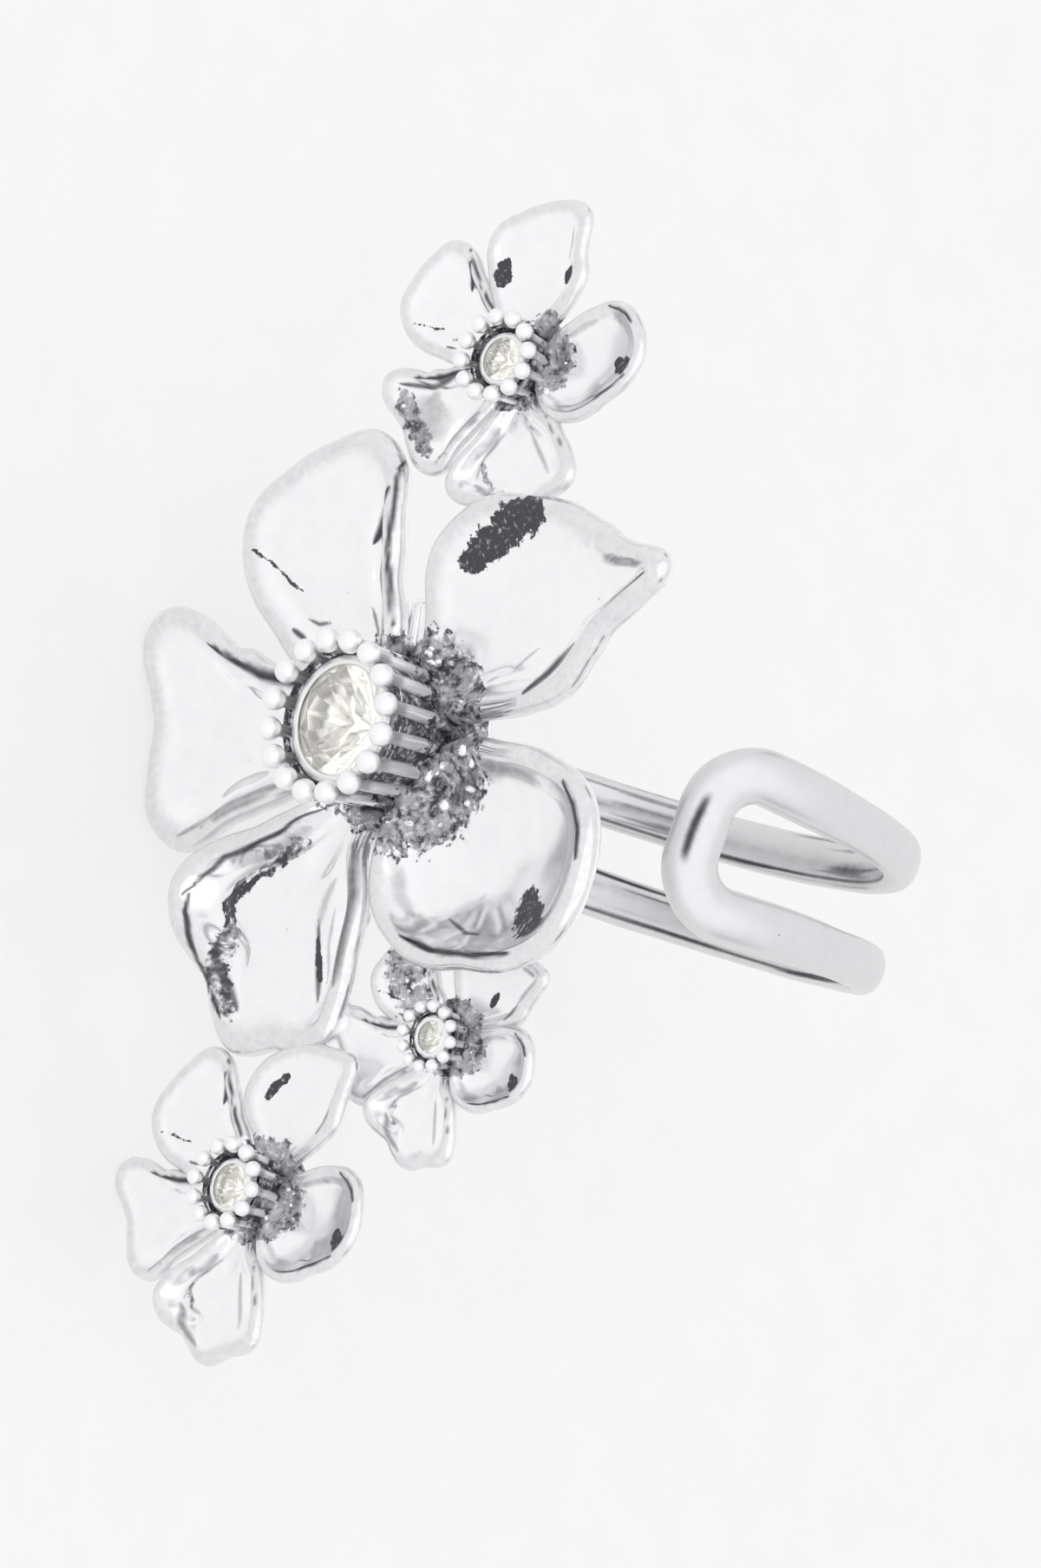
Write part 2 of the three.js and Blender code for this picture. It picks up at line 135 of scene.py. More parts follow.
large = FLOWERS["centre"]
rows = [(0.0, level_of(large) - DEPTH * large["stone"]), (large["stone"], level_of(large)),
        (large["stone"], level_of(large) - 0.06 * large["stone"]),
        (large["stone"], level_of(large) + 0.02 * large["stone"]),
        (0.56 * large["stone"], level_of(large) + CROWN_CUT * large["stone"])]
lie = turn(LYING[0], "X") @ turn(LYING[1], "Y") @ Matrix.Scale(MM, 4)
corners = [lie @ place_of(large) @ Vector((r * math.cos(a), r * math.sin(a), z))
           for r, z in rows for a in np.arange(16) * math.tau / 16]
middle = [(min(c[i] for c in corners) + max(c[i] for c in corners)) / 2 for i in range(3)]
low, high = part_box("centre_stone")
shift = (Vector(low) + Vector(high)) / 2 - Vector(middle)
lay_down = Matrix.Translation(shift) @ lie
print("the finger's axis passes", [round(v / MM, 3) for v in shift], "mm from the corner of the frame")

# %% [markdown]
# ## Silver that is bright on top and dark in the corners
# Worn silver is mirror-bright wherever a cloth reaches it and stays dark, dull and gritty in the
# corners. Painting that by hand would take a picture file. Instead every mesh carries three numbers
# at each point. `age` runs from 0 for polished to 1 for a corner that is never rubbed, `soot` says how
# black that corner is, and `line` paints thin dark lines and soft grey bands into the colour: painted
# dark reflections and painted shade on rims and folds, with some even grey tarnish.

# %% Helpers for building a material from nodes
def new_finish(name):
    finish = bpy.data.materials.new(name)
    finish.use_nodes = True
    tree = finish.node_tree
    tree.nodes.clear()
    out = tree.nodes.new("ShaderNodeOutputMaterial")
    surface = tree.nodes.new("ShaderNodeBsdfPrincipled")
    tree.links.new(surface.outputs["BSDF"], out.inputs["Surface"])
    return finish, tree, surface


def add_node(tree, kind, inputs=None, **settings):
    """A node with its settings, and inputs given as numbers or as sockets to link."""
    made = tree.nodes.new(kind)
    for key, value in settings.items():
        setattr(made, key, value)
    for key, value in (inputs or {}).items():
        if isinstance(value, bpy.types.NodeSocket):
            tree.links.new(value, made.inputs[key])
        else:
            made.inputs[key].default_value = value
    return made


def speckle(tree, per_mm, detail=3.0, roughness=0.55):
    """Noise with about that many grains to a millimetre."""
    place = add_node(tree, "ShaderNodeTexCoord")
    return add_node(tree, "ShaderNodeTexNoise", {"Vector": place.outputs["Object"], "Scale": per_mm / MM,
                                                 "Detail": detail, "Roughness": roughness}).outputs["Fac"]


def spread(tree, value, low, high, to_low=0.0, to_high=1.0):
    """value stretched so that low becomes to_low and high becomes to_high."""
    return add_node(tree, "ShaderNodeMapRange", {"Value": value, "From Min": low, "From Max": high,
                                                 "To Min": to_low, "To Max": to_high},
                    interpolation_type="SMOOTHSTEP").outputs["Result"]


def sum_of(tree, first, second, times=1.0):
    return add_node(tree, "ShaderNodeMath", {0: second, 1: times, 2: first},
                    operation="MULTIPLY_ADD").outputs["Value"]


def blend_colours(tree, amount, first, second):
    mix = add_node(tree, "ShaderNodeMix", {"Factor": amount}, data_type="RGBA")
    for socket, value in ((mix.inputs[6], first), (mix.inputs[7], second)):
        if isinstance(value, bpy.types.NodeSocket):
            tree.links.new(value, socket)
        else:
            socket.default_value = (*value, 1.0)
    return mix.outputs[2]


print("material helpers ready")

# %% [markdown]
# The finish itself is one function, because the petals, the band and the beads differ only in how
# shiny they are, how wavy, and how much oxide they hold.

# %% The silver finishes
SILVER = (0.98, 0.98, 0.985)
WARM_SILVER = (0.95, 0.952, 0.965)
# the black below serves sooty patches and also paints the dark reflections and shade of the line marks
GRIME, CRUMB, SOOT_AND_PAINTED_DARK = (0.50, 0.50, 0.53), (0.90, 0.90, 0.92), (0.06, 0.06, 0.07)


def silver_finish(name, shine=0.10, dull=0.30, waves=0.12, grain=0.25, tone=1.0):
    finish, tree, surface = new_finish(name)
    age, soot, line = (add_node(tree, "ShaderNodeAttribute", attribute_name=kind).outputs["Fac"]
                       for kind in ("age", "soot", "line"))
    coarse, fine, grit = speckle(tree, 1.6, 3.0), speckle(tree, 3.6, 4.0, 0.6), speckle(tree, 4.6, 3.0, 0.55)
    # age decides how much grime there is, the two noises where exactly it clings
    edge = sum_of(tree, sum_of(tree, age, coarse, 0.5), fine, 1.7)
    grime = spread(tree, edge, 1.52, 1.64)
    polished = blend_colours(tree, spread(tree, coarse, 0.35, 0.7), [tone * c for c in SILVER],
                             [tone * c for c in WARM_SILVER])
    crumbs = spread(tree, sum_of(tree, grit, soot, -0.11), 0.45, 0.74)
    mottle = sum_of(tree, sum_of(tree, fine, coarse, 0.8), soot, 0.45)
    dirt = blend_colours(tree, spread(tree, mottle, 0.92, 1.20), GRIME, SOOT_AND_PAINTED_DARK)
    colour = blend_colours(tree, grime, polished, blend_colours(tree, crumbs, dirt, CRUMB))
    # the line number blends the colour towards black: painted dark reflections and painted soft shade on rims
    # and folds
    streak = spread(tree, sum_of(tree, line, fine, 0.25), 0.15, 1.15)
    tree.links.new(blend_colours(tree, streak, colour, SOOT_AND_PAINTED_DARK), surface.inputs["Base Color"])
    tree.links.new(sum_of(tree, spread(tree, fine, 0.3, 0.8, shine, shine + 0.06), grime, dull),
                   surface.inputs["Roughness"])
    # a frosty skin of fine scratches scatters some light, and grime mirrors less than half of it
    tree.links.new(spread(tree, grime, 0.0, 1.0, 0.80, 0.42), surface.inputs["Metallic"])
    soft = add_node(tree, "ShaderNodeBump", {"Height": speckle(tree, 0.55, 1.0), "Strength": waves,
                                             "Distance": 0.25 * MM})
    rough = add_node(tree, "ShaderNodeMath", {0: grit, 1: spread(tree, grime, 0.0, 1.0, 0.03, 1.0)},
                     operation="MULTIPLY").outputs["Value"]
    bumps = add_node(tree, "ShaderNodeBump", {"Height": rough, "Strength": grain,
                                              "Distance": 0.22 * MM, "Normal": soft.outputs["Normal"]})
    tree.links.new(bumps.outputs["Normal"], surface.inputs["Normal"])
    return finish


petal_silver = silver_finish("petal_silver", shine=0.13, waves=0.05, grain=0.26)
small_silver = silver_finish("small_petal_silver", shine=0.21, waves=0.03, grain=0.26)
# the band is the same silver with its colour darkened to 0.75: painted shade
band_silver = silver_finish("band_silver", shine=0.32, waves=0.05, grain=0.10, tone=0.75)
bead_silver = silver_finish("bead_silver", shine=0.36, dull=0.10, waves=0.08, grain=0.6)
print("silver finishes:", petal_silver.name, small_silver.name, band_silver.name, bead_silver.name)

# %% [markdown]
# ## The clear stones' finish
# A cut stone is clear and bends light strongly. Stones for dress jewellery have a foil on the back
# that throws the light out again, so there are two finishes, the clear one above the widest line and
# foil below it. The foil also gives off a trace of light, in place of the many reflections inside a
# real stone. The transmission and the refractive index are the same everywhere, so they are set on the
# shader itself. A faint warm cloud and uneven polish keep it from looking like perfect computer glass.

# %% The stone finishes
stone_finish, tree, surface = new_finish("clear_stone")
cloud = speckle(tree, 0.9, 3.0)
tree.links.new(blend_colours(tree, spread(tree, cloud, 0.3, 0.75), (1.0, 0.998, 0.985), (0.985, 0.97, 0.93)),
               surface.inputs["Base Color"])
tree.links.new(spread(tree, speckle(tree, 4.0), 0.35, 0.8, 0.0, 0.05), surface.inputs["Roughness"])
surface.inputs["Transmission Weight"].default_value = 1.0
surface.inputs["IOR"].default_value = 1.6
foil_finish, tree, surface = new_finish("stone_foil")
tree.links.new(blend_colours(tree, spread(tree, speckle(tree, 3.0), 0.35, 0.7), (0.99, 0.985, 0.97),
                             (0.96, 0.95, 0.91)), surface.inputs["Base Color"])
tree.links.new(spread(tree, speckle(tree, 5.0), 0.35, 0.8, 0.10, 0.18), surface.inputs["Roughness"])
surface.inputs["Metallic"].default_value = 1.0
surface.inputs["Emission Color"].default_value = (1.0, 0.985, 0.95, 1)
surface.inputs["Emission Strength"].default_value = 0.15
print("stone finishes:", stone_finish.name, foil_finish.name)

# %% [markdown]
# ## Putting a piece into the scene
# Every piece goes the same way: points and faces become a mesh, the matrix lays it down, the three
# wear and shade numbers go on its points, and the measured node that it stands for is hidden. Doing this
# in one function keeps each later cell about shape only.

# %% A helper that adds one piece
def add_piece(name, points, faces, finish, node, wear=None, smooth=True):
    """points are millimetres in the ring's own frame, wear has age, soot and line for each of them, where
    line is painted shade and dark reflections.
    """
    points = np.asarray(points, dtype=float)
    matrix = np.array(lay_down)
    mesh = bpy.data.meshes.new(name)
    mesh.from_pydata((points @ matrix[:3, :3].T + matrix[:3, 3]).tolist(), [], faces)
    mesh.polygons.foreach_set("use_smooth", [smooth] * len(mesh.polygons))
    if wear is not None:
        for kind, values in zip(("age", "soot", "line"), np.asarray(wear, dtype=float).T):
            mesh.attributes.new(kind, "FLOAT", "POINT").data.foreach_set("value", values)
    mesh.materials.append(finish)
    mesh.update()
    piece = bpy.data.objects.new(name, mesh)
    bpy.context.scene.collection.objects.link(piece)
    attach(piece, "root")
    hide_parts(node)
    print(name, "has", len(faces), "faces")
    return piece


def wear_of(points, age, soot=0.3, line=0.0):
    """The three wear and painted shade numbers side by side, each given once or for every point."""
    return np.stack([np.broadcast_to(value, len(points)).astype(float)
                     for value in (age, soot, line)], axis=1)


class Parts:
    """Gathers the points, faces, wear and painted shade of several shapes that make one piece."""

    def __init__(self):
        self.points, self.faces, self.wear, self.count = [], [], [], 0

    def add(self, points, faces, wear):
        points = np.asarray(points, dtype=float)
        self.faces += [tuple(i + self.count for i in face) for face in faces]
        self.points.append(points)
        self.wear.append(wear if np.ndim(wear) == 2 else wear_of(points, wear))
        self.count += len(points)

    def finish(self, name, finish, node, slot, place):
        points = np.concatenate(self.points)
        place = np.array(place)
        return add_piece(name, points @ place[:3, :3].T + place[:3, 3], self.faces, finish, node,
                         np.concatenate(self.wear))


def skin(rings):
    """Faces between equal closed rings of points, one after another, with a point at each end."""
    around, count = rings
    faces = [(0, 1 + j, 1 + (j + 1) % around) for j in range(around)]
    for i in range(count - 1):
        a = 1 + i * around
        faces += [(a + j, a + around + j, a + around + (j + 1) % around, a + (j + 1) % around)
                  for j in range(around)]
    a, end = 1 + (count - 1) * around, 1 + count * around
    return faces + [(end, a + (j + 1) % around, a + j) for j in range(around)]


print("piece helpers ready")

# %% [markdown]
# ## The pattern of the five petals
# The petals of a flower all differ, but each is one dished sheet with a rolled rim. A rim can be written
# down as a short table read round the petal's own middle, like points on a compass: how far the rim
# is, how high it stands, and how deep a fold lies just inside it. A smooth curve through the rows
# gives the whole outline, so a handful of numbers makes a soft hand-made shape.

# %% Petal tables: bearing, reach, rise of the rim, depth of the fold
PETALS = {
    "pointed": dict(axis=45, seat=7.0, floor=(0.0, 0.75, 1.1), roll=0.6, rows=[
        (0, 3.8, 1.50, 0), (30, 3.2, 1.40, 0), (65, 3.2, 1.30, 0), (95, 4.0, 1.10, 0),
        (120, 4.5, 1.00, 0), (150, 4.3, 0.70, 0), (180, 5.0, 0.30, 0), (205, 3.6, 0.60, 0.1),
        (240, 3.0, 1.00, 0.1), (270, 3.1, 1.15, 0.1), (300, 3.15, 1.30, 0.1), (320, 3.85, 1.50, 0.1),
        (330, 5.1, 1.70, 0), (336, 6.0, 1.80, 0), (343, 4.85, 1.70, 0)]),
    "blunt": dict(axis=66, seat=6.6, floor=(0.0, 0.75, 1.1), roll=0.6, rows=[
        (0, 4.6, 1.50, 0), (21, 4.3, 1.40, 0), (42, 4.5, 1.35, 0), (59, 4.2, 1.30, 0),
        (82, 3.4, 1.10, 0), (104, 3.1, 1.00, 0), (150, 3.6, 0.70, 0), (180, 4.4, 0.30, 0),
        (210, 3.9, 0.70, 0.1), (249, 4.0, 1.05, 0.1), (269, 4.3, 1.15, 0.1), (294, 4.4, 1.30, 0.1),
        (305, 4.9, 1.40, 0.1), (316, 5.9, 1.60, 0), (324, 6.0, 1.60, 0), (336, 5.4, 1.60, 0)]),
    "tall": dict(axis=127, seat=6.0, floor=(0.0, 0.9, 1.1), roll=0.9, rows=[
        (10, 3.6, 1.30, 0), (40, 4.0, 1.20, 0), (60, 3.8, 1.00, 0), (75, 3.5, 0.90, 0.1),
        (102, 3.0, 0.80, 0.2), (124, 3.1, 0.80, 0.2), (150, 3.6, 0.60, 0.1), (180, 4.0, 0.30, 0),
        (204, 3.1, 0.80, 0.2), (225, 2.3, 0.90, 0.3), (258, 2.25, 1.00, 0.3), (283, 2.7, 1.10, 0.3),
        (302, 3.7, 1.20, 0.1), (314, 4.1, 1.30, 0.1), (340, 3.7, 1.30, 0)]),
    "broad": dict(axis=190, seat=6.2, floor=(0.0, 0.6, 1.0), roll=0.5, rows=[
        (20, 3.6, 1.00, 0), (45, 4.2, 1.00, 0), (62, 4.0, 0.90, 0.2), (80, 2.9, 0.90, 0.4),
        (110, 2.4, 0.80, 0.5), (140, 2.7, 0.60, 0.3), (180, 4.2, 0.30, 0), (225, 2.4, 0.70, 0.4),
        (255, 2.0, 0.80, 0.4), (275, 2.3, 0.80, 0.3), (295, 2.8, 0.90, 0.2), (306, 4.2, 1.10, 0.1),
        (314, 5.0, 1.20, 0), (324, 5.0, 1.20, 0), (340, 3.9, 1.10, 0), (355, 3.4, 1.00, 0)]),
    "channel": dict(axis=251, seat=6.2, floor=(0.0, 0.7, 1.1), roll=1.0, rows=[
        (0, 4.2, 1.40, 0.1), (12, 4.8, 1.40, 0), (35, 4.6, 1.40, 0), (59, 5.0, 1.40, 0.1),
        (68, 4.5, 1.40, 0.3), (85, 3.7, 1.40, 0.4), (112, 3.2, 1.30, 0.4), (150, 3.1, 1.10, 0.3),
        (180, 4.0, 0.30, 0), (200, 2.8, 1.00, 0.3), (228, 2.4, 1.10, 0.4), (258, 2.7, 1.20, 0.5),
        (276, 3.5, 1.30, 0.5), (294, 4.5, 1.40, 0.5), (305, 4.5, 1.40, 0.5), (328, 3.8, 1.40, 0.5),
        (345, 3.6, 1.40, 0.3)]),
    "cupped": dict(axis=328, seat=6.6, floor=(0.0, 0.3, 0.8), roll=0.8, rows=[
        (15, 4.8, 2.00, 0), (40, 5.2, 2.00, 0), (65, 5.2, 1.90, 0), (90, 4.3, 1.70, 0),
        (120, 3.7, 1.40, 0), (150, 4.0, 0.90, 0), (180, 4.5, 0.50, 0), (200, 4.0, 1.10, 0),
        (235, 3.8, 1.40, 0), (270, 3.3, 1.60, 0), (300, 3.0, 1.80, 0), (325, 3.0, 1.90, 0),
        (355, 4.0, 2.00, 0)]),
}
# the short petal is the pointed one with a stubbier tip
PETALS["short"] = dict(PETALS["pointed"], rows=[
    (0, 3.3, 1.50, 0), (30, 3.0, 1.40, 0), *PETALS["pointed"]["rows"][2:11], (318, 3.8, 1.50, 0.1),
    (329, 4.55, 1.65, 0), (340, 4.0, 1.65, 0), (350, 3.55, 1.60, 0)])
print("petals:", ", ".join(PETALS))

# %% [markdown]
# ## Where the tarnish and the painted shade sit on each petal
# The four flowers come from one pattern, so the same folds hold tarnish on each of them, and the same
# rims carry the same painted dark reflections and painted shade. A mark is a short path across the petal,
# drawn with a brush of a given width that tapers at both ends. A "line" is smooth and thin and paints dark
# reflections and soft shade into the colour, a "patch" is black and gritty, and "grit" is grey and rough.
# Naming the marks here and laying them on the mesh's points lets the same finish serve every petal.

# %% Marks: kind, half width of the brush, strength, then points (x, y) from the petal's middle
# "line" marks are mostly painted dark reflections and painted shade; "patch" and "grit" marks are tarnish
MARKS = {
    "pointed": [
        ("patch", 0.62, 1.0, (-1.5, 2.9), (-0.4, 2.8), (0.8, 2.7), (1.9, 2.3)),
        ("line", 0.15, 1.0, (5.1, -2.5), (4.2, -2.35), (3.3, -2.2), (2.7, -2.2)),
        ("line", 0.30, 1.0, (1.3, -2.45), (0.1, -2.4), (-1.3, -2.6)),
        ("line", 0.09, 0.5, (-0.2, -1.4), (-1.7, -1.3)),
        ("line", 0.07, 0.5, (-2.3, -1.0), (-3.0, -0.8)),
        ("grit", 1.05, 0.9, (-5.2, 2.0), (-4.4, 1.0), (-4.0, -0.4), (-4.2, -1.6)),
    ],
    "blunt": [
        ("patch", 0.60, 1.0, (-0.6, 2.5), (0.1, 2.4), (0.8, 2.4)),
        ("patch", 0.40, 0.8, (-0.3, -3.2), (0.6, -3.4)),
        ("line", 0.12, 0.6, (3.6, -3.3), (2.4, -3.2), (1.2, -3.1)),
        ("grit", 1.0, 0.9, (-4.8, 2.0), (-4.4, 0.6), (-4.0, -0.8), (-3.0, -2.4)),
    ],
    "tall": [
        ("line", 0.24, 1.0, (1.3, -3.0), (0.8, -2.3), (0.1, -1.5)),
        ("line", 0.15, 0.95, (2.0, -3.6), (1.1, -3.2), (0.4, -2.8), (-0.6, -2.2), (-1.8, -1.8), (-3.0, -1.5)),
        ("line", 0.18, 0.7, (-0.2, -2.0), (-1.9, -1.35), (-3.0, -1.1)),
        ("line", 0.10, 0.7, (-1.8, -0.7), (-2.8, -0.5)),
        ("patch", 0.07, 0.7, (2.1, 3.0), (1.4, 2.5), (1.0, 2.3), (0.5, 2.1), (0.0, 1.7)),
        ("line", 0.09, 0.9, (-0.9, 1.9), (-1.3, 1.5), (-1.5, 1.0)),
        ("line", 0.09, 0.5, (0.8, 3.5), (-0.2, 3.15), (-0.9, 2.9)),
        ("line", 0.13, 0.9, (-1.0, 2.45), (-1.6, 2.1)),
    ],
    "broad": [
        ("line", 0.18, 1.0, (1.7, -2.8), (0.4, -2.2), (-0.6, -1.8), (-2.4, -1.5)),
        ("line", 0.32, 0.9, (0.6, -2.25), (-0.6, -1.85), (-1.8, -1.65), (-2.8, -1.5)),
        ("line", 0.34, 0.60, (-2.4, 1.6), (-1.1, 2.0), (-0.1, 2.4), (0.8, 2.85), (1.9, 3.5)),
        ("line", 0.11, 0.60, (-2.4, 1.9), (-1.1, 2.3), (-0.1, 2.7), (1.0, 3.2)),
    ],
    "channel": [
        ("line", 0.09, 0.9, (-3.0, -0.6), (-1.7, -1.4), (-0.6, -2.3), (0.3, -3.1), (1.3, -3.6), (2.1, -3.7)),
        ("line", 0.15, 0.95, (2.0, -3.6), (2.5, -3.3), (2.95, -2.6), (3.4, -1.6), (3.9, -0.5), (4.4, 0.5)),
        ("line", 0.35, 0.75, (-2.9, 1.6), (-1.6, 2.75), (-0.1, 3.5), (1.2, 4.1)),
        ("patch", 0.30, 1.0, (1.75, -2.6), (1.35, -2.2)),
        ("patch", 0.13, 0.9, (1.3, -2.1), (0.8, -2.0), (0.2, -1.75)),
        ("line", 0.20, 0.8, (2.6, -1.9), (3.0, -1.2), (3.4, -0.4), (3.9, 0.7)),
        ("line", 0.32, 0.42, (-2.2, -0.8), (-1.2, -1.4), (-0.1, -2.2), (1.3, -2.9)),
        ("grit", 0.40, 0.60, (-1.6, -0.9), (0.0, -1.8), (1.4, -2.3), (2.4, -1.8), (3.4, -0.8), (4.2, 0.6)),
        ("line", 0.30, 0.42, (-1.4, 1.1), (-0.6, 1.2), (0.4, 1.6)),
        ("line", 0.17, 0.80, (0.0, 1.4), (1.1, 2.35), (2.1, 3.3)),
        ("patch", 0.13, 0.85, (0.5, 1.8), (1.5, 2.8)),
        ("line", 0.08, 0.5, (-0.8, 1.7), (0.4, 2.3), (1.5, 3.1)),
    ],
    "cupped": [
        ("patch", 0.64, 1.0, (2.4, 0.9), (2.9, 0.6), (3.7, 0.8)),
        ("line", 0.16, 1.0, (1.3, 4.75), (2.3, 4.6), (3.1, 4.25), (3.8, 3.6)),
        ("line", 0.16, 1.0, (-0.1, -3.2), (1.4, -2.5), (2.9, -1.4), (4.3, 0.0)),
        ("line", 0.10, 0.8, (0.3, -1.9), (1.5, -1.5), (2.0, -1.1)),
        ("line", 0.30, 0.40, (-3.4, -1.6), (-2.5, -2.2), (-1.5, -2.7), (-0.6, -2.7)),
        ("line", 0.32, 0.42, (-2.4, 2.3), (-0.7, 3.4), (0.3, 3.8)),
        ("grit", 1.25, 1.0, (-3.6, 2.4), (-3.1, 0.9), (-3.3, -0.6), (-4.0, -1.8)),
        ("line", 0.50, 0.60, (-2.7, 2.2), (-2.7, 1.1), (-3.0, 0.2)),
    ],
}
MARKS["top broad"] = MARKS["broad"] + [
    ("grit", 0.75, 0.80, (2.9, -2.2), (2.7, 0.0), (2.4, 2.3)),
    ("line", 2.6, 0.46, (0.6, -1.0), (1.8, 0.4), (2.6, 1.6)),
    ("line", 1.0, 0.35, (3.0, -2.0), (3.6, 0.6)), ("line", 0.3, 0.8, (-1.5, -1.6), (0.6, -1.7), (3.0, -3.0))]
MARKS["short"] = [
    ("patch", 0.36, 1.0, (-1.5, 2.6), (-0.6, 2.5), (0.4, 2.0)),
    ("line", 0.30, 0.7, (-1.2, -2.6), (0.6, -2.5)),
    ("line", 0.10, 0.7, (2.8, -2.2), (1.3, -2.35), (-0.2, -2.3)),
    ("grit", 1.05, 0.8, (-5.2, 2.0), (-4.4, 1.0), (-4.0, -0.4), (-4.2, -1.6))]
MARKS["side short"] = MARKS["short"][1:] + [("patch", 0.34, 0.9, (-1.7, -0.6), (-0.7, -0.4))]
# the side flower's tall petal lies under the large flower and is made grey and rough all over
MARKS["side tall"] = MARKS["tall"] + [("grit", 2.0, 0.85, (-2.0, 0.8), (0.6, 0.4), (2.4, -0.4))]
# the channels of the small flowers get soft grey lines of painted shade and a little grit, but no black
# patches
for name in ("top", "lower", "side"):
    MARKS[f"{name} channel"] = [
        ("line", 0.34, 0.62, (1.9, -2.9), (3.0, -1.6), (4.2, 0.4)),
        ("grit", 0.34, 0.58, (0.6, -2.2), (2.4, -1.7)),
        ("line", 0.36, 0.50, (-1.8, -1.0), (0.0, -2.1), (1.6, -2.7)),
        ("line", 0.26, 0.50, (-1.2, 1.2), (0.5, 2.0), (2.4, 2.9)),
        ("line", 0.14, 0.70, (-2.2, 2.6), (-0.6, 3.3), (0.9, 4.3))]
print("marks on the large flower:", sum(len(MARKS[kind]) for kind in FITTED["centre"]))

# %% [markdown]
# ## Brushing the marks on
# Each mark works like a soft stroke of a brush: a point of the mesh takes on tarnish and painted shade by
# how near it lies to the mark's path. The distance to a path is quick to work out for every point at once, so
# nothing has to be unwrapped or painted into a picture file.

# %% Lay the marks on the points of a petal
BLACK = 0.9          # soot above this belongs to a black patch


def ease(value, low, high):
    """0 below low, 1 above high, and a soft step between."""
    t = np.clip((value - low) / (high - low), 0, 1)
    return t * t * (3 - 2 * t)


def lay_marks(x, y, marks):
    """Age, soot and line at each point, from the marks near it."""
    age, soot, line = np.zeros(len(x)), np.full(len(x), 0.3), np.zeros(len(x))
    for kind, wide, strength, *path in marks:
        path = np.array(path)
        run = np.concatenate([[0], np.cumsum(np.linalg.norm(np.diff(path, axis=0), axis=1))])
        nearest, where = np.full(len(x), 1e9), np.zeros(len(x))
        for (ax, ay), (bx, by), start, end in zip(path[:-1], path[1:], run[:-1], run[1:]):
            t = np.clip(((x - ax) * (bx - ax) + (y - ay) * (by - ay)) / (end - start) ** 2, 0, 1)
            away = np.hypot(x - ax - t * (bx - ax), y - ay - t * (by - ay))
            where = np.where(away < nearest, (start + t * (end - start)) / run[-1], where)
            nearest = np.minimum(nearest, away)
        taper = 0.75 * np.abs(2 * where - 1) ** 3 if kind == "line" else 0.3 * (2 * where - 1) ** 8
        brush = wide * (1 - taper)
        if kind == "line":
            line = np.maximum(line, strength * (1 - ease(nearest, 0.1 * brush, 1.3 * brush)))
        else:
            age = np.maximum(age, strength * np.clip(1.45 - nearest / brush, 0, 1))
            if kind == "patch":
                soot = np.maximum(soot, 0.95 * (nearest < 1.8 * brush))
    return age, soot, line


spot = lay_marks(np.array([0.0]), np.array([2.8]), MARKS["pointed"])
print("age, soot and line inside the large black patch:", [float(v[0].round(2)) for v in spot])

# %% [markdown]
# ## A smooth curve through a few rows
# A rim with straight lines between the rows would look cut with shears. A curve that passes through
# every row, with a slope taken from the rows on both sides of it, gives the soft outline of a cast
# petal. Its points are then spread evenly along the rim, so the mesh is as fine at the tip as elsewhere.

# %% Read a table as a smooth closed curve
def read_table(rows, column, bearing):
    """Value of one column at each bearing, on a smooth curve through every row."""
    table = np.array(rows, dtype=float)
    at = np.concatenate([table[:, 0] - 360, table[:, 0], table[:, 0] + 360])
    value = np.tile(table[:, column], 3)
    before, after = np.diff(at)[:-1], np.diff(at)[1:]
    slope = np.zeros(len(at))
    slope[1:-1] = (before ** 2 * value[2:] + (after ** 2 - before ** 2) * value[1:-1]
                   - after ** 2 * value[:-2]) / (before * after * (before + after))
    i = np.searchsorted(at, bearing, side="right") - 1
    h = at[i + 1] - at[i]
    t = (bearing - at[i]) / h
    return ((2 * t ** 3 - 3 * t ** 2 + 1) * value[i] + (t ** 3 - 2 * t ** 2 + t) * h * slope[i]
            + (3 * t ** 2 - 2 * t ** 3) * value[i + 1] + (t ** 3 - t ** 2) * h * slope[i + 1])


def rim_points(rows, around):
    """Points at equal steps round a petal's rim: x, y, rise and fold depth."""
    fine = np.arange(0, 360.01, 0.25)
    reach = read_table(rows, 1, fine)
    x, y = reach * np.cos(np.radians(fine)), reach * np.sin(np.radians(fine))
    run = np.concatenate([[0], np.cumsum(np.hypot(np.diff(x), np.diff(y)))])
    bearing = np.interp(np.arange(around) * run[-1] / around, run, fine)
    reach = read_table(rows, 1, bearing)
    return np.stack([reach * np.cos(np.radians(bearing)), reach * np.sin(np.radians(bearing)),
                     read_table(rows, 2, bearing), read_table(rows, 3, bearing)], axis=1)


print("pointed petal's rim, first point:", rim_points(PETALS["pointed"]["rows"], 90)[0].round(2))

# %% [markdown]
# ## From a rim to a petal
# Rings of points shrink from the rim to the middle of the petal, first over the top face, then round
# the rolled edge, then along the underside. The top face sinks away from the rim in a late, steep
# curve, as metal does when it is punched into a hollow. Modelling the sheet this way, instead of
# pushing a flat disc about with modifiers, gives full control of the rolled rim, which catches most
# of the light on the real ring. The `age` number grows in the folds and towards the hub.

# %% Make one petal
DISH = 2.2           # how late the petal turns up towards its rim
FOLD_AT, FOLD_WIDE = 0.74, 0.13          # where the fold lies on the way to the rim, and its width
BACK_AGE, BACK_SOOT = 0.04, 0.1          # the back is bare metal


def wobble(points, per_mm, amount, seed):
    """One gentle random number for each point, the same on every run."""
    return np.array([noise.noise(Vector(p) * per_mm + Vector((seed, seed, 0))) for p in points]) * amount


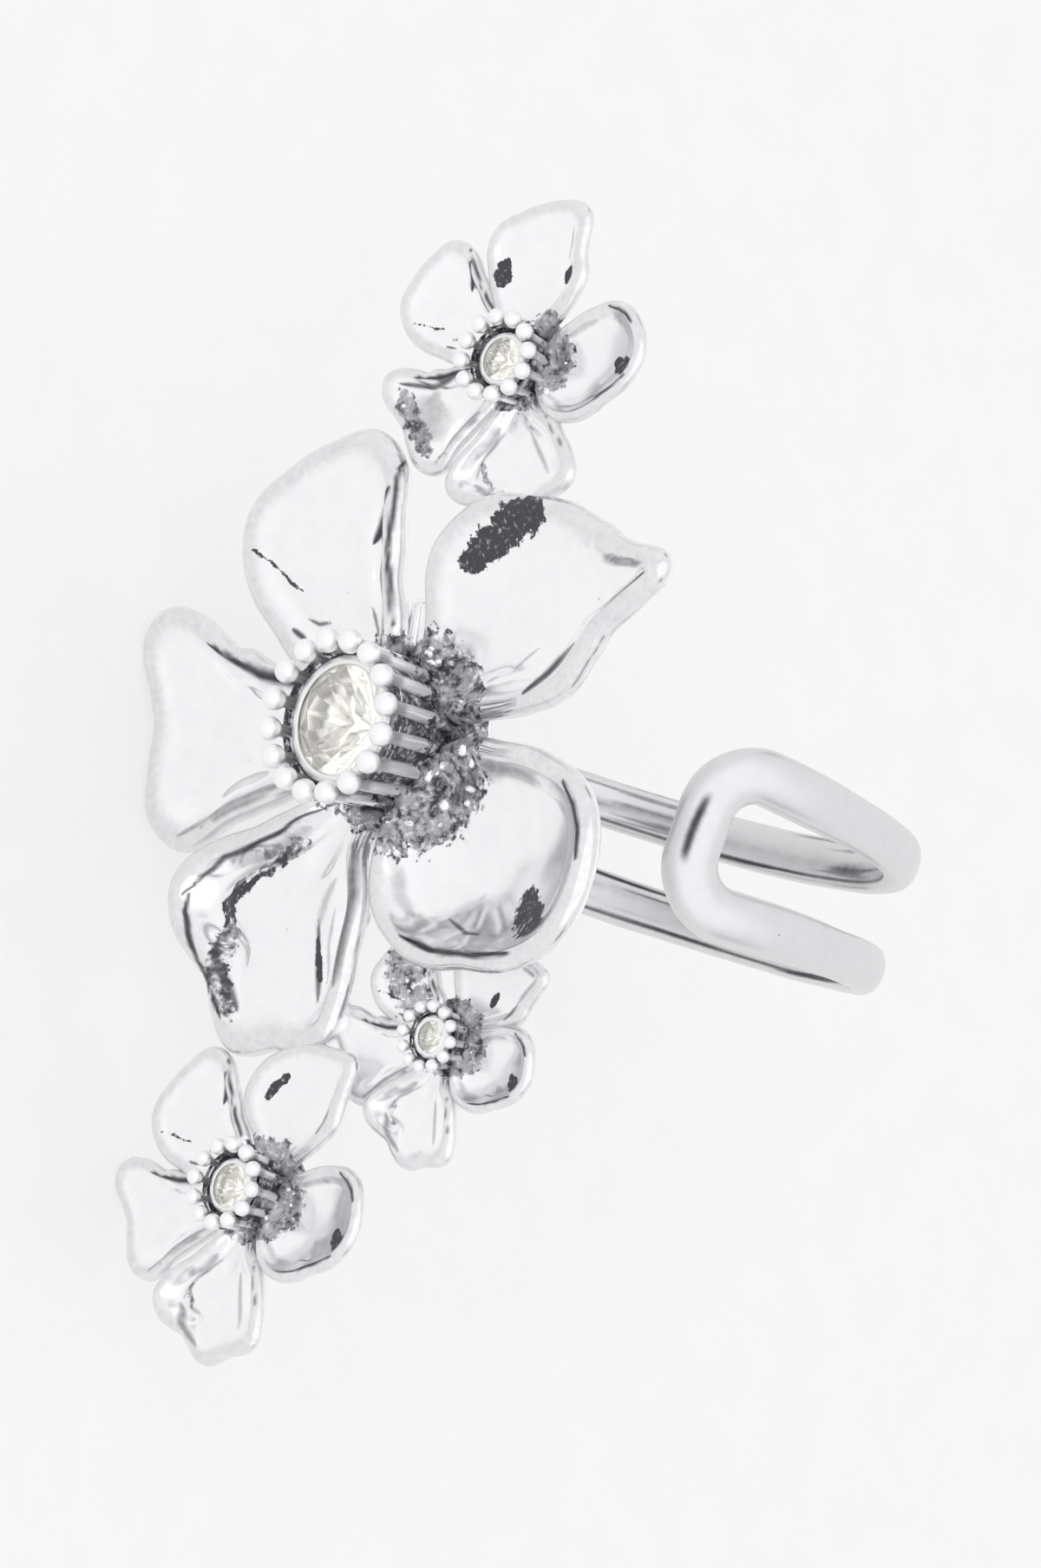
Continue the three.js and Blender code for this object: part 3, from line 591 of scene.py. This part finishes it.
def dish(part):
    """How far the sheet has risen at a part of the way to the rim, level again at the rim itself."""
    start = 0.82
    t = np.clip((part - start) / (1 - start), 0, 1)
    low, slope = start ** DISH, DISH * start ** (DISH - 1) * (1 - start)
    curve = ((2 * t ** 3 - 3 * t ** 2 + 1) * low + (t ** 3 - 2 * t ** 2 + t) * slope
             + (3 * t ** 2 - 2 * t ** 3))
    return np.where(part < start, part ** DISH, curve)


def make_petal(petal, marks, thick, around, above, below, edge, seed):
    """Points, faces, wear and painted shade of one petal at size 1, with its base towards -x."""
    rim = rim_points(petal["rows"], around)
    seat, floor = petal["seat"], petal["floor"]
    reach = np.hypot(rim[:, 0], rim[:, 1])
    length = seat + rim[:, 0].max()
    out = np.stack([np.roll(rim[:, 1], -1) - np.roll(rim[:, 1], 1),
                    np.roll(rim[:, 0], 1) - np.roll(rim[:, 0], -1)], axis=1)
    out /= np.linalg.norm(out, axis=1)[:, None]

    def floor_at(x):
        s = (x + seat) / length
        return (floor[0] + (floor[1] - floor[0]) * ease(s, 0.15, 0.65)
                + (floor[2] - floor[1]) * ease(s, 0.55, 1.05))

    def ring(part, up, outwards):
        x, y = rim[:, 0] * part, rim[:, 1] * part
        fold = np.exp(-((part - FOLD_AT) / FOLD_WIDE) ** 2)
        z = floor_at(x) + (rim[:, 2] - floor_at(rim[:, 0])) * dish(part) - rim[:, 3] * fold
        # the sheet is thinner inside its softly rolled rim
        inside = np.clip((1 - part) * reach / 1.1, 0, 1)
        half = thick * (1 - 0.25 * petal["roll"] * (1 - np.cos(math.pi * inside)))
        x, y = x + out[:, 0] * outwards * thick, y + out[:, 1] * outwards * thick
        age, soot, line = lay_marks(x, y, marks)
        near_hub = 1 - ease(np.hypot(x + seat, y), 2.7, 3.9)
        age = np.maximum(age, 0.75 * near_hub)
        # the soft grey band painted just inside every rim is painted shade
        line = np.maximum(line, 0.30 * ease(part, 0.80, 0.98) * (1 - near_hub))
        if up < 0:
            age, soot, line = np.full(around, BACK_AGE), np.full(around, BACK_SOOT), line * 0
        return np.stack([x + seat, y, z + up * half], axis=1), np.stack([age, soot, line], axis=1)

    parts = [ring(1 - (1 - (i + 1) / above) ** 1.25, 1, 0) for i in range(above)]
    parts += [ring(1, math.sin(a), math.cos(a)) for a in math.pi * (0.5 - np.arange(1, edge) / edge)]
    parts += [ring(1 - (1 - (i + 1) / below) ** 1.5, -1, 0) for i in reversed(range(below))]
    mid = float(floor_at(np.zeros(1))[0])
    half = thick * (1 - 0.5 * petal["roll"])
    points = np.concatenate([[[seat, 0, mid + half]]] + [p for p, _ in parts] + [[[seat, 0, mid - half]]])
    wear = np.concatenate([[[0.0, 0.3, 0.0]]] + [w for _, w in parts] + [[[BACK_AGE, BACK_SOOT, 0.0]]])
    points[:, 2] += wobble(points * (1, 1, 0), 0.45, 0.06, seed)
    # the gritty parts are lumpy as well as dark
    lumps = wobble(points * (1, 1, 0), 2.8, 0.07, seed + 50)
    points[:, 2] += lumps * ease(wear[:, 0], 0.3, 0.9) * (wear[:, 1] < BLACK)
    return points, skin((around, len(parts))), wear


points, faces, wear = make_petal(PETALS["broad"], MARKS["broad"], 0.45, 120, 26, 10, 8, 1)
print("one large petal:", len(points), "points,", len(faces), "faces")

# %% [markdown]
# ## Five petals round each hub
# The petals of a flower are soldered to a small round hub. Each petal is turned to its own bearing
# and joined with the rest into one mesh, because on the real ring they are one piece of metal too.

# %% Make the petals and hub of every flower
def turned_shape(profile, around):
    """Points and faces of a shape turned about z, as on a lathe, from (radius, height) rows."""
    angles = np.arange(around) * math.tau / around
    rings = [np.stack([r * np.cos(angles), r * np.sin(angles), np.full(around, z)], axis=1)
             for r, z in profile[1:-1]]
    points = np.concatenate([[[0, 0, profile[0][1]]]] + rings + [[[0, 0, profile[-1][1]]]])
    return points, skin((around, len(rings)))


def spun(points, degrees):
    c, s = math.cos(math.radians(degrees)), math.sin(math.radians(degrees))
    return points @ np.array([[c, s, 0], [-s, c, 0], [0, 0, 1]])


def solder_grain(radius):
    """A small lump: a ball with a slightly random outline."""
    profile = [(0, -radius)] + [(radius * math.cos(a), radius * math.sin(a)) for a in (-0.8, -0.1, 0.6, 1.1)]
    points, faces = turned_shape(profile + [(0, radius)], 8)
    stretch = [chance.uniform(0.7, 1.4) for _ in range(3)]
    return points * stretch, faces


# points round the rim, then rings above, rings below and steps round the rolled edge
LARGE_STEPS, SMALL_STEPS = (236, 52, 8, 10), (130, 30, 5, 8)
LARGE_GRAINS, SMALL_GRAINS = 45, 10
HUB_AGE = 0.75
chance = random.Random(4)
for number, (name, f) in enumerate(FLOWERS.items()):
    flower = Parts()
    size, big = f["size"], f["size"] == 1
    gritty = []              # points in the rough corners, where solder grains may sit
    for k, (kind, (turned, longer, wider)) in enumerate(FITTED[name].items()):
        petal = PETALS[kind]
        marks = MARKS.get(f"{name} {kind}", MARKS[kind])
        steps = LARGE_STEPS if big else SMALL_STEPS
        points, faces, wear = make_petal(petal, marks, f["thick"] / size, *steps, seed=7 * number + k)
        points = spun(points * (size * longer, size * wider, size), petal["axis"] + turned)
        if not big:                             # the small flowers' corners are paler
            wear[wear[:, 1] < BLACK, 1] *= 0.5
        flower.add(points, faces, wear)
        upper = slice(1, 1 + steps[0] * steps[1])
        gritty += [p for p, w in zip(points[upper], wear[upper]) if w[0] > 0.7 and w[1] < BLACK]
    radius, bottom, top = f["hub"]
    edge = [(radius * (0.86 + 0.14 * math.sin(a)), bottom + (top - bottom) * (1 - math.cos(a)) / 2)
            for a in np.linspace(0.02, math.pi - 0.02, 9)]
    hub = [(0, bottom), (radius * 0.5, bottom)] + edge + [(radius * 0.5, top), (0, top)]
    points, faces = turned_shape(hub, 64)
    # the hub is dark among the petals and bare on the back
    hub_age = np.where(points[:, 2] < 0.5 * bottom, BACK_AGE, HUB_AGE)
    flower.add(points, faces, wear_of(points, hub_age, 0.4))
    for spot in chance.sample(gritty, min(len(gritty), LARGE_GRAINS if big else SMALL_GRAINS)):
        grain, faces = solder_grain(chance.uniform(0.10, 0.24) * (1 if big else 0.5))
        flower.add(grain + spot, faces, wear_of(grain, chance.choice((0.15, 0.4, 0.6)), 0.3))
    # the small petals have a slightly softer polish
    flower.finish(f"{name}_petals", petal_silver if big else small_silver, "ring_body", "silver", place_of(f))

# %% [markdown]
# ## Crowns of beads
# Each prong is a little turned pin with a ball melted on its tip, leaning slightly outwards. All the
# pins stand round a cup whose thin lip closes over the stone's edge. A lathe function is right for
# both: one profile of radius and height is swept round an axis.

# %% Make the crowns
def size_of(f):
    """Fine details of the small crowns are a little coarser than their size says."""
    return 1.0 if f["size"] == 1 else 0.55


def prong_profile(f, long):
    b, p = f["bead"], f["prong"]
    shank = [(p * (1.0 - 0.2 * t), t * (long - 0.8 * b)) for t in np.linspace(0, 1, 6)]
    ball = [(b * math.sin(a), long - b * math.cos(a)) for a in np.linspace(0.65, math.pi - 0.12, 10)]
    return [(0, 0)] + shank + ball + [(0, long + b)]


for name, f in FLOWERS.items():
    crown, big = Parts(), f["size"] == 1
    rise = f["crown_height"]
    lean = math.atan2(f["crown_radius"] - f["foot"], rise)
    long = math.hypot(f["crown_radius"] - f["foot"], rise)
    points, faces = turned_shape(prong_profile(f, long), 20 if big else 14)
    tip = np.array([[math.cos(lean), 0, -math.sin(lean)], [0, 1, 0], [math.sin(lean), 0, math.cos(lean)]])
    for i in range(f["beads"]):
        placed = spun(points @ tip + (f["foot"], 0, 0), 360 * (i + f["bead_turn"]) / f["beads"])
        age = 0.66 * (1 - ease(placed[:, 2], 0.25 * rise, 0.72 * rise))     # grimy at the foot
        crown.add(placed, faces, wear_of(placed, age, 0.4))
    level, bore = level_of(f), f["stone"] + f["gap"]
    culet = level - DEPTH * f["stone"]
    foot = f["hub"][1] * 0.5
    lip, fine = f["stone"] + 0.05 * size_of(f), size_of(f)
    wall_top = rise - 1.35 * f["bead"]
    wall = f["foot"] + (f["crown_radius"] - f["foot"]) * wall_top / rise
    # up the outside, over the wall, down inside it, then up and over the lip that holds the stone
    cup = [(0, foot), (f["foot"], foot), (f["foot"] + 0.01, 0.2 * rise),
           (wall, wall_top - 0.04), (wall - 0.03, wall_top),
           (wall - 0.07 * fine, wall_top - 0.05), (wall - 0.10 * fine, level - 0.45 * fine),
           (lip + 0.13 * fine, level - 0.42 * fine), (lip + 0.13 * fine, level + 0.10 * fine),
           (lip + 0.08 * fine, level + 0.20 * fine), (lip - 0.04 * fine, level + 0.26 * fine),
           (lip - 0.16 * fine, level + 0.27 * fine), (lip - 0.22 * fine, level + 0.23 * fine),
           (lip - 0.17 * fine, level + 0.17 * fine), (lip, level + 0.06 * fine),
           (lip + 0.02, level - 0.12 * fine),
           (bore, level - 0.24 * fine), (0.15 * bore, culet - f["gap"]), (0, culet - f["gap"])]
    points, faces = turned_shape(cup, 96)
    outside = (np.hypot(points[:, 0], points[:, 1]) > lip + 0.14 * fine) | (points[:, 2] < level - 0.3 * fine)
    crown.add(points, faces, wear_of(points, np.where(outside, 1.0, 0.0), 0.6))
    # a thin wire runs round inside the wall
    wire, around = 0.08 * fine, 96
    middle = wall - 0.10 * fine
    angles = np.arange(around) * math.tau / around
    loops = []
    for b in np.arange(8) * math.tau / 8:
        reach = middle + wire * math.cos(b)
        height = 0.5 * (wall_top + level - 0.4 * fine) + wire * math.sin(b)
        loops.append(np.stack([reach * np.cos(angles), reach * np.sin(angles),
                               np.full(around, height)], axis=1))
    faces = [(i * around + j, i * around + (j + 1) % around, (i + 1) % 8 * around + (j + 1) % around,
              (i + 1) % 8 * around + j) for i in range(8) for j in range(around)]
    crown.add(np.concatenate(loops), faces, 0.45)
    crown.finish(f"{name}_crown", bead_silver, "ring_body", "silver", place_of(f))

# %% [markdown]
# ## Brilliant-cut stones
# A round brilliant has a flat table, eight star facets, eight kites and sixteen small triangles above
# its widest line, and a pointed fan of facets below. Its sparkle comes from flat faces with hard
# edges, so the mesh is built facet by facet and shaded flat, and no bevel or smoothing is used.

# %% Cut the stones
FAN = 48             # number of the first point below the widest line


def cut_stone(r, level):
    def ring(radius, height, count, offset=0.0):
        return [(radius * math.cos(a), radius * math.sin(a), height)
                for a in (np.arange(count) + offset) * math.tau / count]

    points = (ring(0.56 * r, level + CROWN_CUT * r, 8) + ring(0.775 * r, level + 0.21 * r, 8, 0.5)
              + ring(r, level + 0.02 * r, 16) + ring(r, level - 0.06 * r, 16)
              + ring(0.24 * r, level - 0.66 * r, 8, 0.5) + [(0, 0, level - DEPTH * r)])
    table, star, upper, lower, fan, culet = 0, 8, 16, 32, FAN, 56
    faces = [tuple(range(8))]
    for i in range(8):
        j, h, left = (i + 1) % 8, (i - 1) % 8, (2 * i + 1) % 16
        a, b = 2 * i, (2 * i + 2) % 16
        faces += [(table + i, star + i, table + j), (table + i, star + h, upper + a, star + i),
                  (star + i, upper + a, upper + left), (star + i, upper + left, upper + b),
                  (upper + a, lower + a, lower + left, upper + left),
                  (upper + left, lower + left, lower + b, upper + b),
                  (fan + i, lower + left, lower + a), (fan + i, lower + b, lower + left),
                  (culet, fan + i, lower + a, fan + h)]
    return points, faces


for name, f in FLOWERS.items():
    points, faces = cut_stone(f["stone"], level_of(f))
    place = np.array(place_of(f))
    placed = np.array(points) @ place[:3, :3].T + place[:3, 3]
    stone = add_piece(f"{name}_cut_stone", placed, faces, stone_finish, f"{name}_stone",
                      smooth=False)
    stone.data.materials.append(foil_finish)
    for face in stone.data.polygons:
        face.material_index = int(max(face.vertices) >= FAN)

# %% [markdown]
# ## The band
# The band is one bar, bent round the finger twice over: out along one wire, round a U-shaped end, and
# back along the other. The path is worked from the ring's radius and the spacing of the wires. The
# section is softly squared, flatter on the side that touches the skin, and is carried along the path
# with its flat side always facing the finger.

# %% Sweep the band
BAND = dict(radius=9.5, thick=0.55, wide=0.80, wide_open=0.91, hidden_end=368, open_end=59.8, corner=1.7,
            spread_flower=1.75, spread_back=1.49, spread_open=2.42)


def band_path(along, corner_steps):
    b = BAND
    corner = math.degrees(b["corner"] / b["radius"])
    turns = np.linspace(b["hidden_end"], b["open_end"] + corner, along)
    s = (360 - turns) / (360 - b["open_end"])
    apart = (b["spread_flower"] * 2 * (s - 0.5) * (s - 1) + b["spread_back"] * 4 * s * (1 - s)
             + b["spread_open"] * 2 * s * (s - 0.5))
    a = np.linspace(0, math.pi / 2, corner_steps + 1)[1:]
    turns = np.concatenate([turns, turns[-1] - corner * np.sin(a)])
    apart = np.concatenate([apart, apart[-1] - b["corner"] * (1 - np.cos(a))])
    bar = np.linspace(apart[-1], 0, 9)[1:-1]        # half of the straight bar of the U
    turns, apart = np.concatenate([turns, bar * 0 + turns[-1]]), np.concatenate([apart, bar])
    turns, apart = np.concatenate([turns, turns[::-1]]), np.concatenate([apart, -apart[::-1]])
    return np.stack([b["radius"] * np.sin(np.radians(turns)), apart,
                     b["radius"] * np.cos(np.radians(turns))], axis=1)


def sweep_band(sides=72):
    path = band_path(170, 18)
    along = np.gradient(path, axis=0)
    outward = path * (1, 0, 1) / np.linalg.norm(path * (1, 0, 1), axis=1)[:, None]
    across = np.cross(outward, along)
    across /= np.linalg.norm(across, axis=1)[:, None]
    a = (np.arange(sides) + 0.5) * math.tau / sides
    squareness = np.where(np.cos(a) > 0, 2.15, 3.2)      # rounder outside, flatter inside
    u = BAND["thick"] * np.sign(np.cos(a)) * np.abs(np.cos(a)) ** (2 / squareness)
    w = np.sign(np.sin(a)) * np.abs(np.sin(a)) ** (2 / squareness)
    turned = np.degrees(np.arctan2(path[:, 0], path[:, 2])) % 360
    # the bar is a little wider at the U
    wide = BAND["wide"] + (BAND["wide_open"] - BAND["wide"]) * (1 - ease(turned, 70, 110))
    rings = (path[:, None] + outward[:, None] * u[None, :, None]
             + across[:, None] * (wide[:, None] * w)[:, :, None])
    points = np.concatenate([path[:1], rings.reshape(-1, 3), path[-1:]])
    centre = np.concatenate([path[:1], np.repeat(path, sides, axis=0), path[-1:]])
    swell = 1 + wobble(points, 0.45, 0.045, 3)
    return centre + (points - centre) * swell[:, None], skin((sides, len(path))), band_wear(points, centre)


def band_wear(points, centre):
    """Dark lines along the edges of the inner face, and a painted dark reflection: a streak across the bar of
    the U.
    """
    radial = np.hypot(points[:, 0], points[:, 2]) - BAND["radius"]
    low = -(points[:, 1] - centre[:, 1]) / BAND["wide"]     # 1 on the side away from the top flower
    turned = np.degrees(np.arctan2(centre[:, 0], centre[:, 2])) % 360
    inner = ease(-radial, 0.15, 0.42) * ease(turned, 66, 75)
    upper_wire = points[:, 1] > 0
    groove = np.where(upper_wire, np.exp(-((low - 0.15) / 0.28) ** 2), np.exp(-((low + 0.35) / 0.28) ** 2))
    near_flower = ease(turned, 215, 250)
    edge_line = (np.exp(-((low - 0.72) / 0.08) ** 2)
                 + np.where(upper_wire, 0, np.exp(-((low + 0.80) / 0.07) ** 2)))
    # fine drawn streaks run along the wire
    drawn = np.array([noise.noise(Vector((t * 0.035, v * 5.5, side * 7.0)))
                      for t, v, side in zip(turned, low, upper_wire)])
    line = inner * (0.85 * edge_line + (0.30 + 0.35 * near_flower) * groove + 0.55 * ease(drawn, 0.08, 0.45))
    # the painted dark reflection, a streak, slants across the middle of the bar
    forward = math.radians(1) * BAND["radius"] * (
        BAND["open_end"] - np.degrees(np.arctan2(points[:, 0], points[:, 2])))
    slant = forward - 0.37 + 0.16 * ((points[:, 1] + 0.4) / 1.5) ** 2
    bar = np.exp(-(points[:, 1] / 1.15) ** 6) * (turned < 64) * (radial > 0)
    streak = bar * (np.exp(-(slant / 0.17) ** 2) + 0.30 * np.exp(-((slant - 0.55) / 0.08) ** 2))
    return wear_of(points, 0.0, 0.5, np.clip(line + streak, 0, 1))


points, faces, wear = sweep_band()
add_piece("band", points, faces, band_silver, "ring_body", wear)

# %% [markdown]
# ## The solder tab
# Between the pointed and the tall petal of the large flower a short flat tab of metal shows. It is a
# small rounded bar, so a few rings of a softly squared section are enough.

# %% Make the tab
def rounded_bar(length, wide, high, sides=20, rings=10):
    a = np.arange(sides) * math.tau / sides
    y = 0.5 * wide * np.sign(np.cos(a)) * np.abs(np.cos(a)) ** 0.5
    z = 0.5 * high * np.sign(np.sin(a)) * np.abs(np.sin(a)) ** 0.5
    steps = np.linspace(-0.97, 0.97, rings)
    swell = (1 - np.abs(steps) ** 6) ** 0.5
    loops = [np.stack([np.full(sides, 0.5 * length * t), y * s, z * s], axis=1) for t, s in zip(steps, swell)]
    points = np.concatenate([[[-0.5 * length, 0, 0]]] + loops + [[[0.5 * length, 0, 0]]])
    return points, skin((sides, rings))


tab = Parts()
points, faces = rounded_bar(1.9, 0.55, 0.9)
tab.add(spun(points + (3.55, 0, 0.05), 98), faces, wear_of(points, 0.15))
tab.finish("solder_tab", petal_silver, "ring_body", "silver", place_of(large))

# %% [markdown]
# ## A pale table
# Jewellery is lit by white all round, because polished metal shows only what it mirrors. The floor is
# a plain pale sheet. It gives off an even light of its own, as a light table does, so the metal never
# mirrors a grey floor. One strength serves the whole sheet, so it is set on the shader itself.

# %% Floor
floor_finish, tree, surface = new_finish("pale_floor")
tree.links.new(blend_colours(tree, spread(tree, speckle(tree, 0.4), 0.3, 0.7), (0.30, 0.30, 0.30),
                             (0.31, 0.31, 0.31)), surface.inputs["Base Color"])
surface.inputs["Roughness"].default_value = 0.9
surface.inputs["Specular IOR Level"].default_value = 0.1
surface.inputs["Emission Color"].default_value = (1, 1, 1, 1)
surface.inputs["Emission Strength"].default_value = 0.61
floor_mesh = bpy.data.meshes.new("floor")
floor_mesh.from_pydata([(-4, -4, 0), (4, -4, 0), (4, 4, 0), (-4, 4, 0)], [], [(0, 1, 2, 3)])
floor_mesh.materials.append(floor_finish)
floor = bpy.data.objects.new("floor", floor_mesh)
bpy.context.scene.collection.objects.link(floor)
floor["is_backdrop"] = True
print("floor is 8 m wide at height 0")

# %% [markdown]
# ## Something for the metal to mirror
# The sky is almost white, with two soft dark patches where a studio would have black cards. They draw
# the thin dark lines that give bright metal its shape. The lens itself meets a plain pale backdrop, so
# no card would ever show behind the ring.

# %% Studio surroundings
FLAGS = [   # direction of the middle of each dark card, how wide it is, how dark it leaves the light
    ((0.30, 0.85, 0.42), 0.15, 0.35),
    ((0.30, -0.85, 0.35), 0.15, 0.35),
]
world = bpy.data.worlds.new("studio")
bpy.context.scene.world = world
world.use_nodes = True
tree = world.node_tree
tree.nodes.clear()
way = add_node(tree, "ShaderNodeTexCoord").outputs["Generated"]
light = None
for middle, wide, dark in FLAGS:
    aim = Vector(middle).normalized()
    near = add_node(tree, "ShaderNodeVectorMath", {0: way, 1: aim}, operation="DOT_PRODUCT").outputs["Value"]
    card = spread(tree, near, math.cos(wide * 1.5), math.cos(wide * 0.75), 1.0, dark)
    light = card if light is None else add_node(tree, "ShaderNodeMath", {0: light, 1: card},
                                                operation="MULTIPLY").outputs["Value"]
lit = add_node(tree, "ShaderNodeBackground", {"Color": (0.96, 0.96, 0.975, 1), "Strength": light})
plain = add_node(tree, "ShaderNodeBackground", {"Color": (0.91, 0.91, 0.91, 1), "Strength": 1.0})
seen = add_node(tree, "ShaderNodeLightPath").outputs["Is Camera Ray"]
both = add_node(tree, "ShaderNodeMixShader", {0: seen, 1: lit.outputs[0], 2: plain.outputs[0]})
out = add_node(tree, "ShaderNodeOutputWorld", {"Surface": both.outputs[0]})
bpy.context.scene.view_settings.view_transform = "Standard"
print("studio has", len(FLAGS), "dark cards")

# %% [markdown]
# ## One large soft lamp
# A big square lamp high up adds a little direction, so the side of each bead and rim that faces it is
# whiter than the other.

# %% Lamp
lamp_data = bpy.data.lights.new("softbox", "AREA")
lamp_data.shape, lamp_data.size, lamp_data.energy = "SQUARE", 1.3, 1.6      # metres, watts
lamp = bpy.data.objects.new("softbox", lamp_data)
bpy.context.scene.collection.objects.link(lamp)
lamp.location = (-0.35, -0.25, 0.75)
lamp.rotation_mode = "QUATERNION"
lamp.rotation_quaternion = (lamp.location - shift).to_track_quat("Z", "Y")
print("softbox", round((lamp.location - shift).length, 2), "m from the ring")

# %% [markdown]
# ## The camera
# A long lens from well above the table makes the ring look as it does in a catalogue, with almost no
# perspective. The two directions below are right and back in the ring's own frame, so the same matrix
# that lays the ring down also turns the camera, and the view stays tied to the ring.

# %% Camera
RIGHT, BACK = (0.717, 0.315, -0.621), (0.673, -0.084, 0.735)
DISTANCE = 450               # mm from the finger's axis
AIM = (-2.817, 1.324)        # mm to the right and up of the axis that the lens points at
flat = lie.to_3x3() * (1 / MM)
back = (flat @ Vector(BACK)).normalized()
right = flat @ Vector(RIGHT)
right = (right - right.dot(back) * back).normalized()
up = back.cross(right)
camera_data = bpy.data.cameras.new("camera")
camera_data.lens, camera_data.sensor_width = 318.1, 36.0
camera_data.clip_start, camera_data.clip_end = 0.02, 20
camera = bpy.data.objects.new("camera", camera_data)
bpy.context.scene.collection.objects.link(camera)
camera.rotation_mode = "QUATERNION"
camera.location = shift + MM * DISTANCE * back
aimed = camera.location - (shift + MM * (AIM[0] * right + AIM[1] * up))
level = up.cross(aimed).normalized()
camera.rotation_quaternion = Matrix((level, aimed.normalized().cross(level), aimed.normalized())
                                    ).transposed().to_quaternion()
bpy.context.scene.camera = camera
print("camera is", round(camera.location.z / MM), "mm above the table")

# %% [markdown]
# ## Both boxes side by side
# Finer shapes must not outgrow the measured ring, so the last cell prints the measured box and the
# box of the made pieces, axis by axis.

# %% Sizes and finish
made_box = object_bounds()
for axis, a, b, c, d in zip("xyz", *measured_box, *made_box):
    print(axis, "measured", round(a / MM, 2), round(b / MM, 2), "made", round(c / MM, 2), round(d / MM, 2))
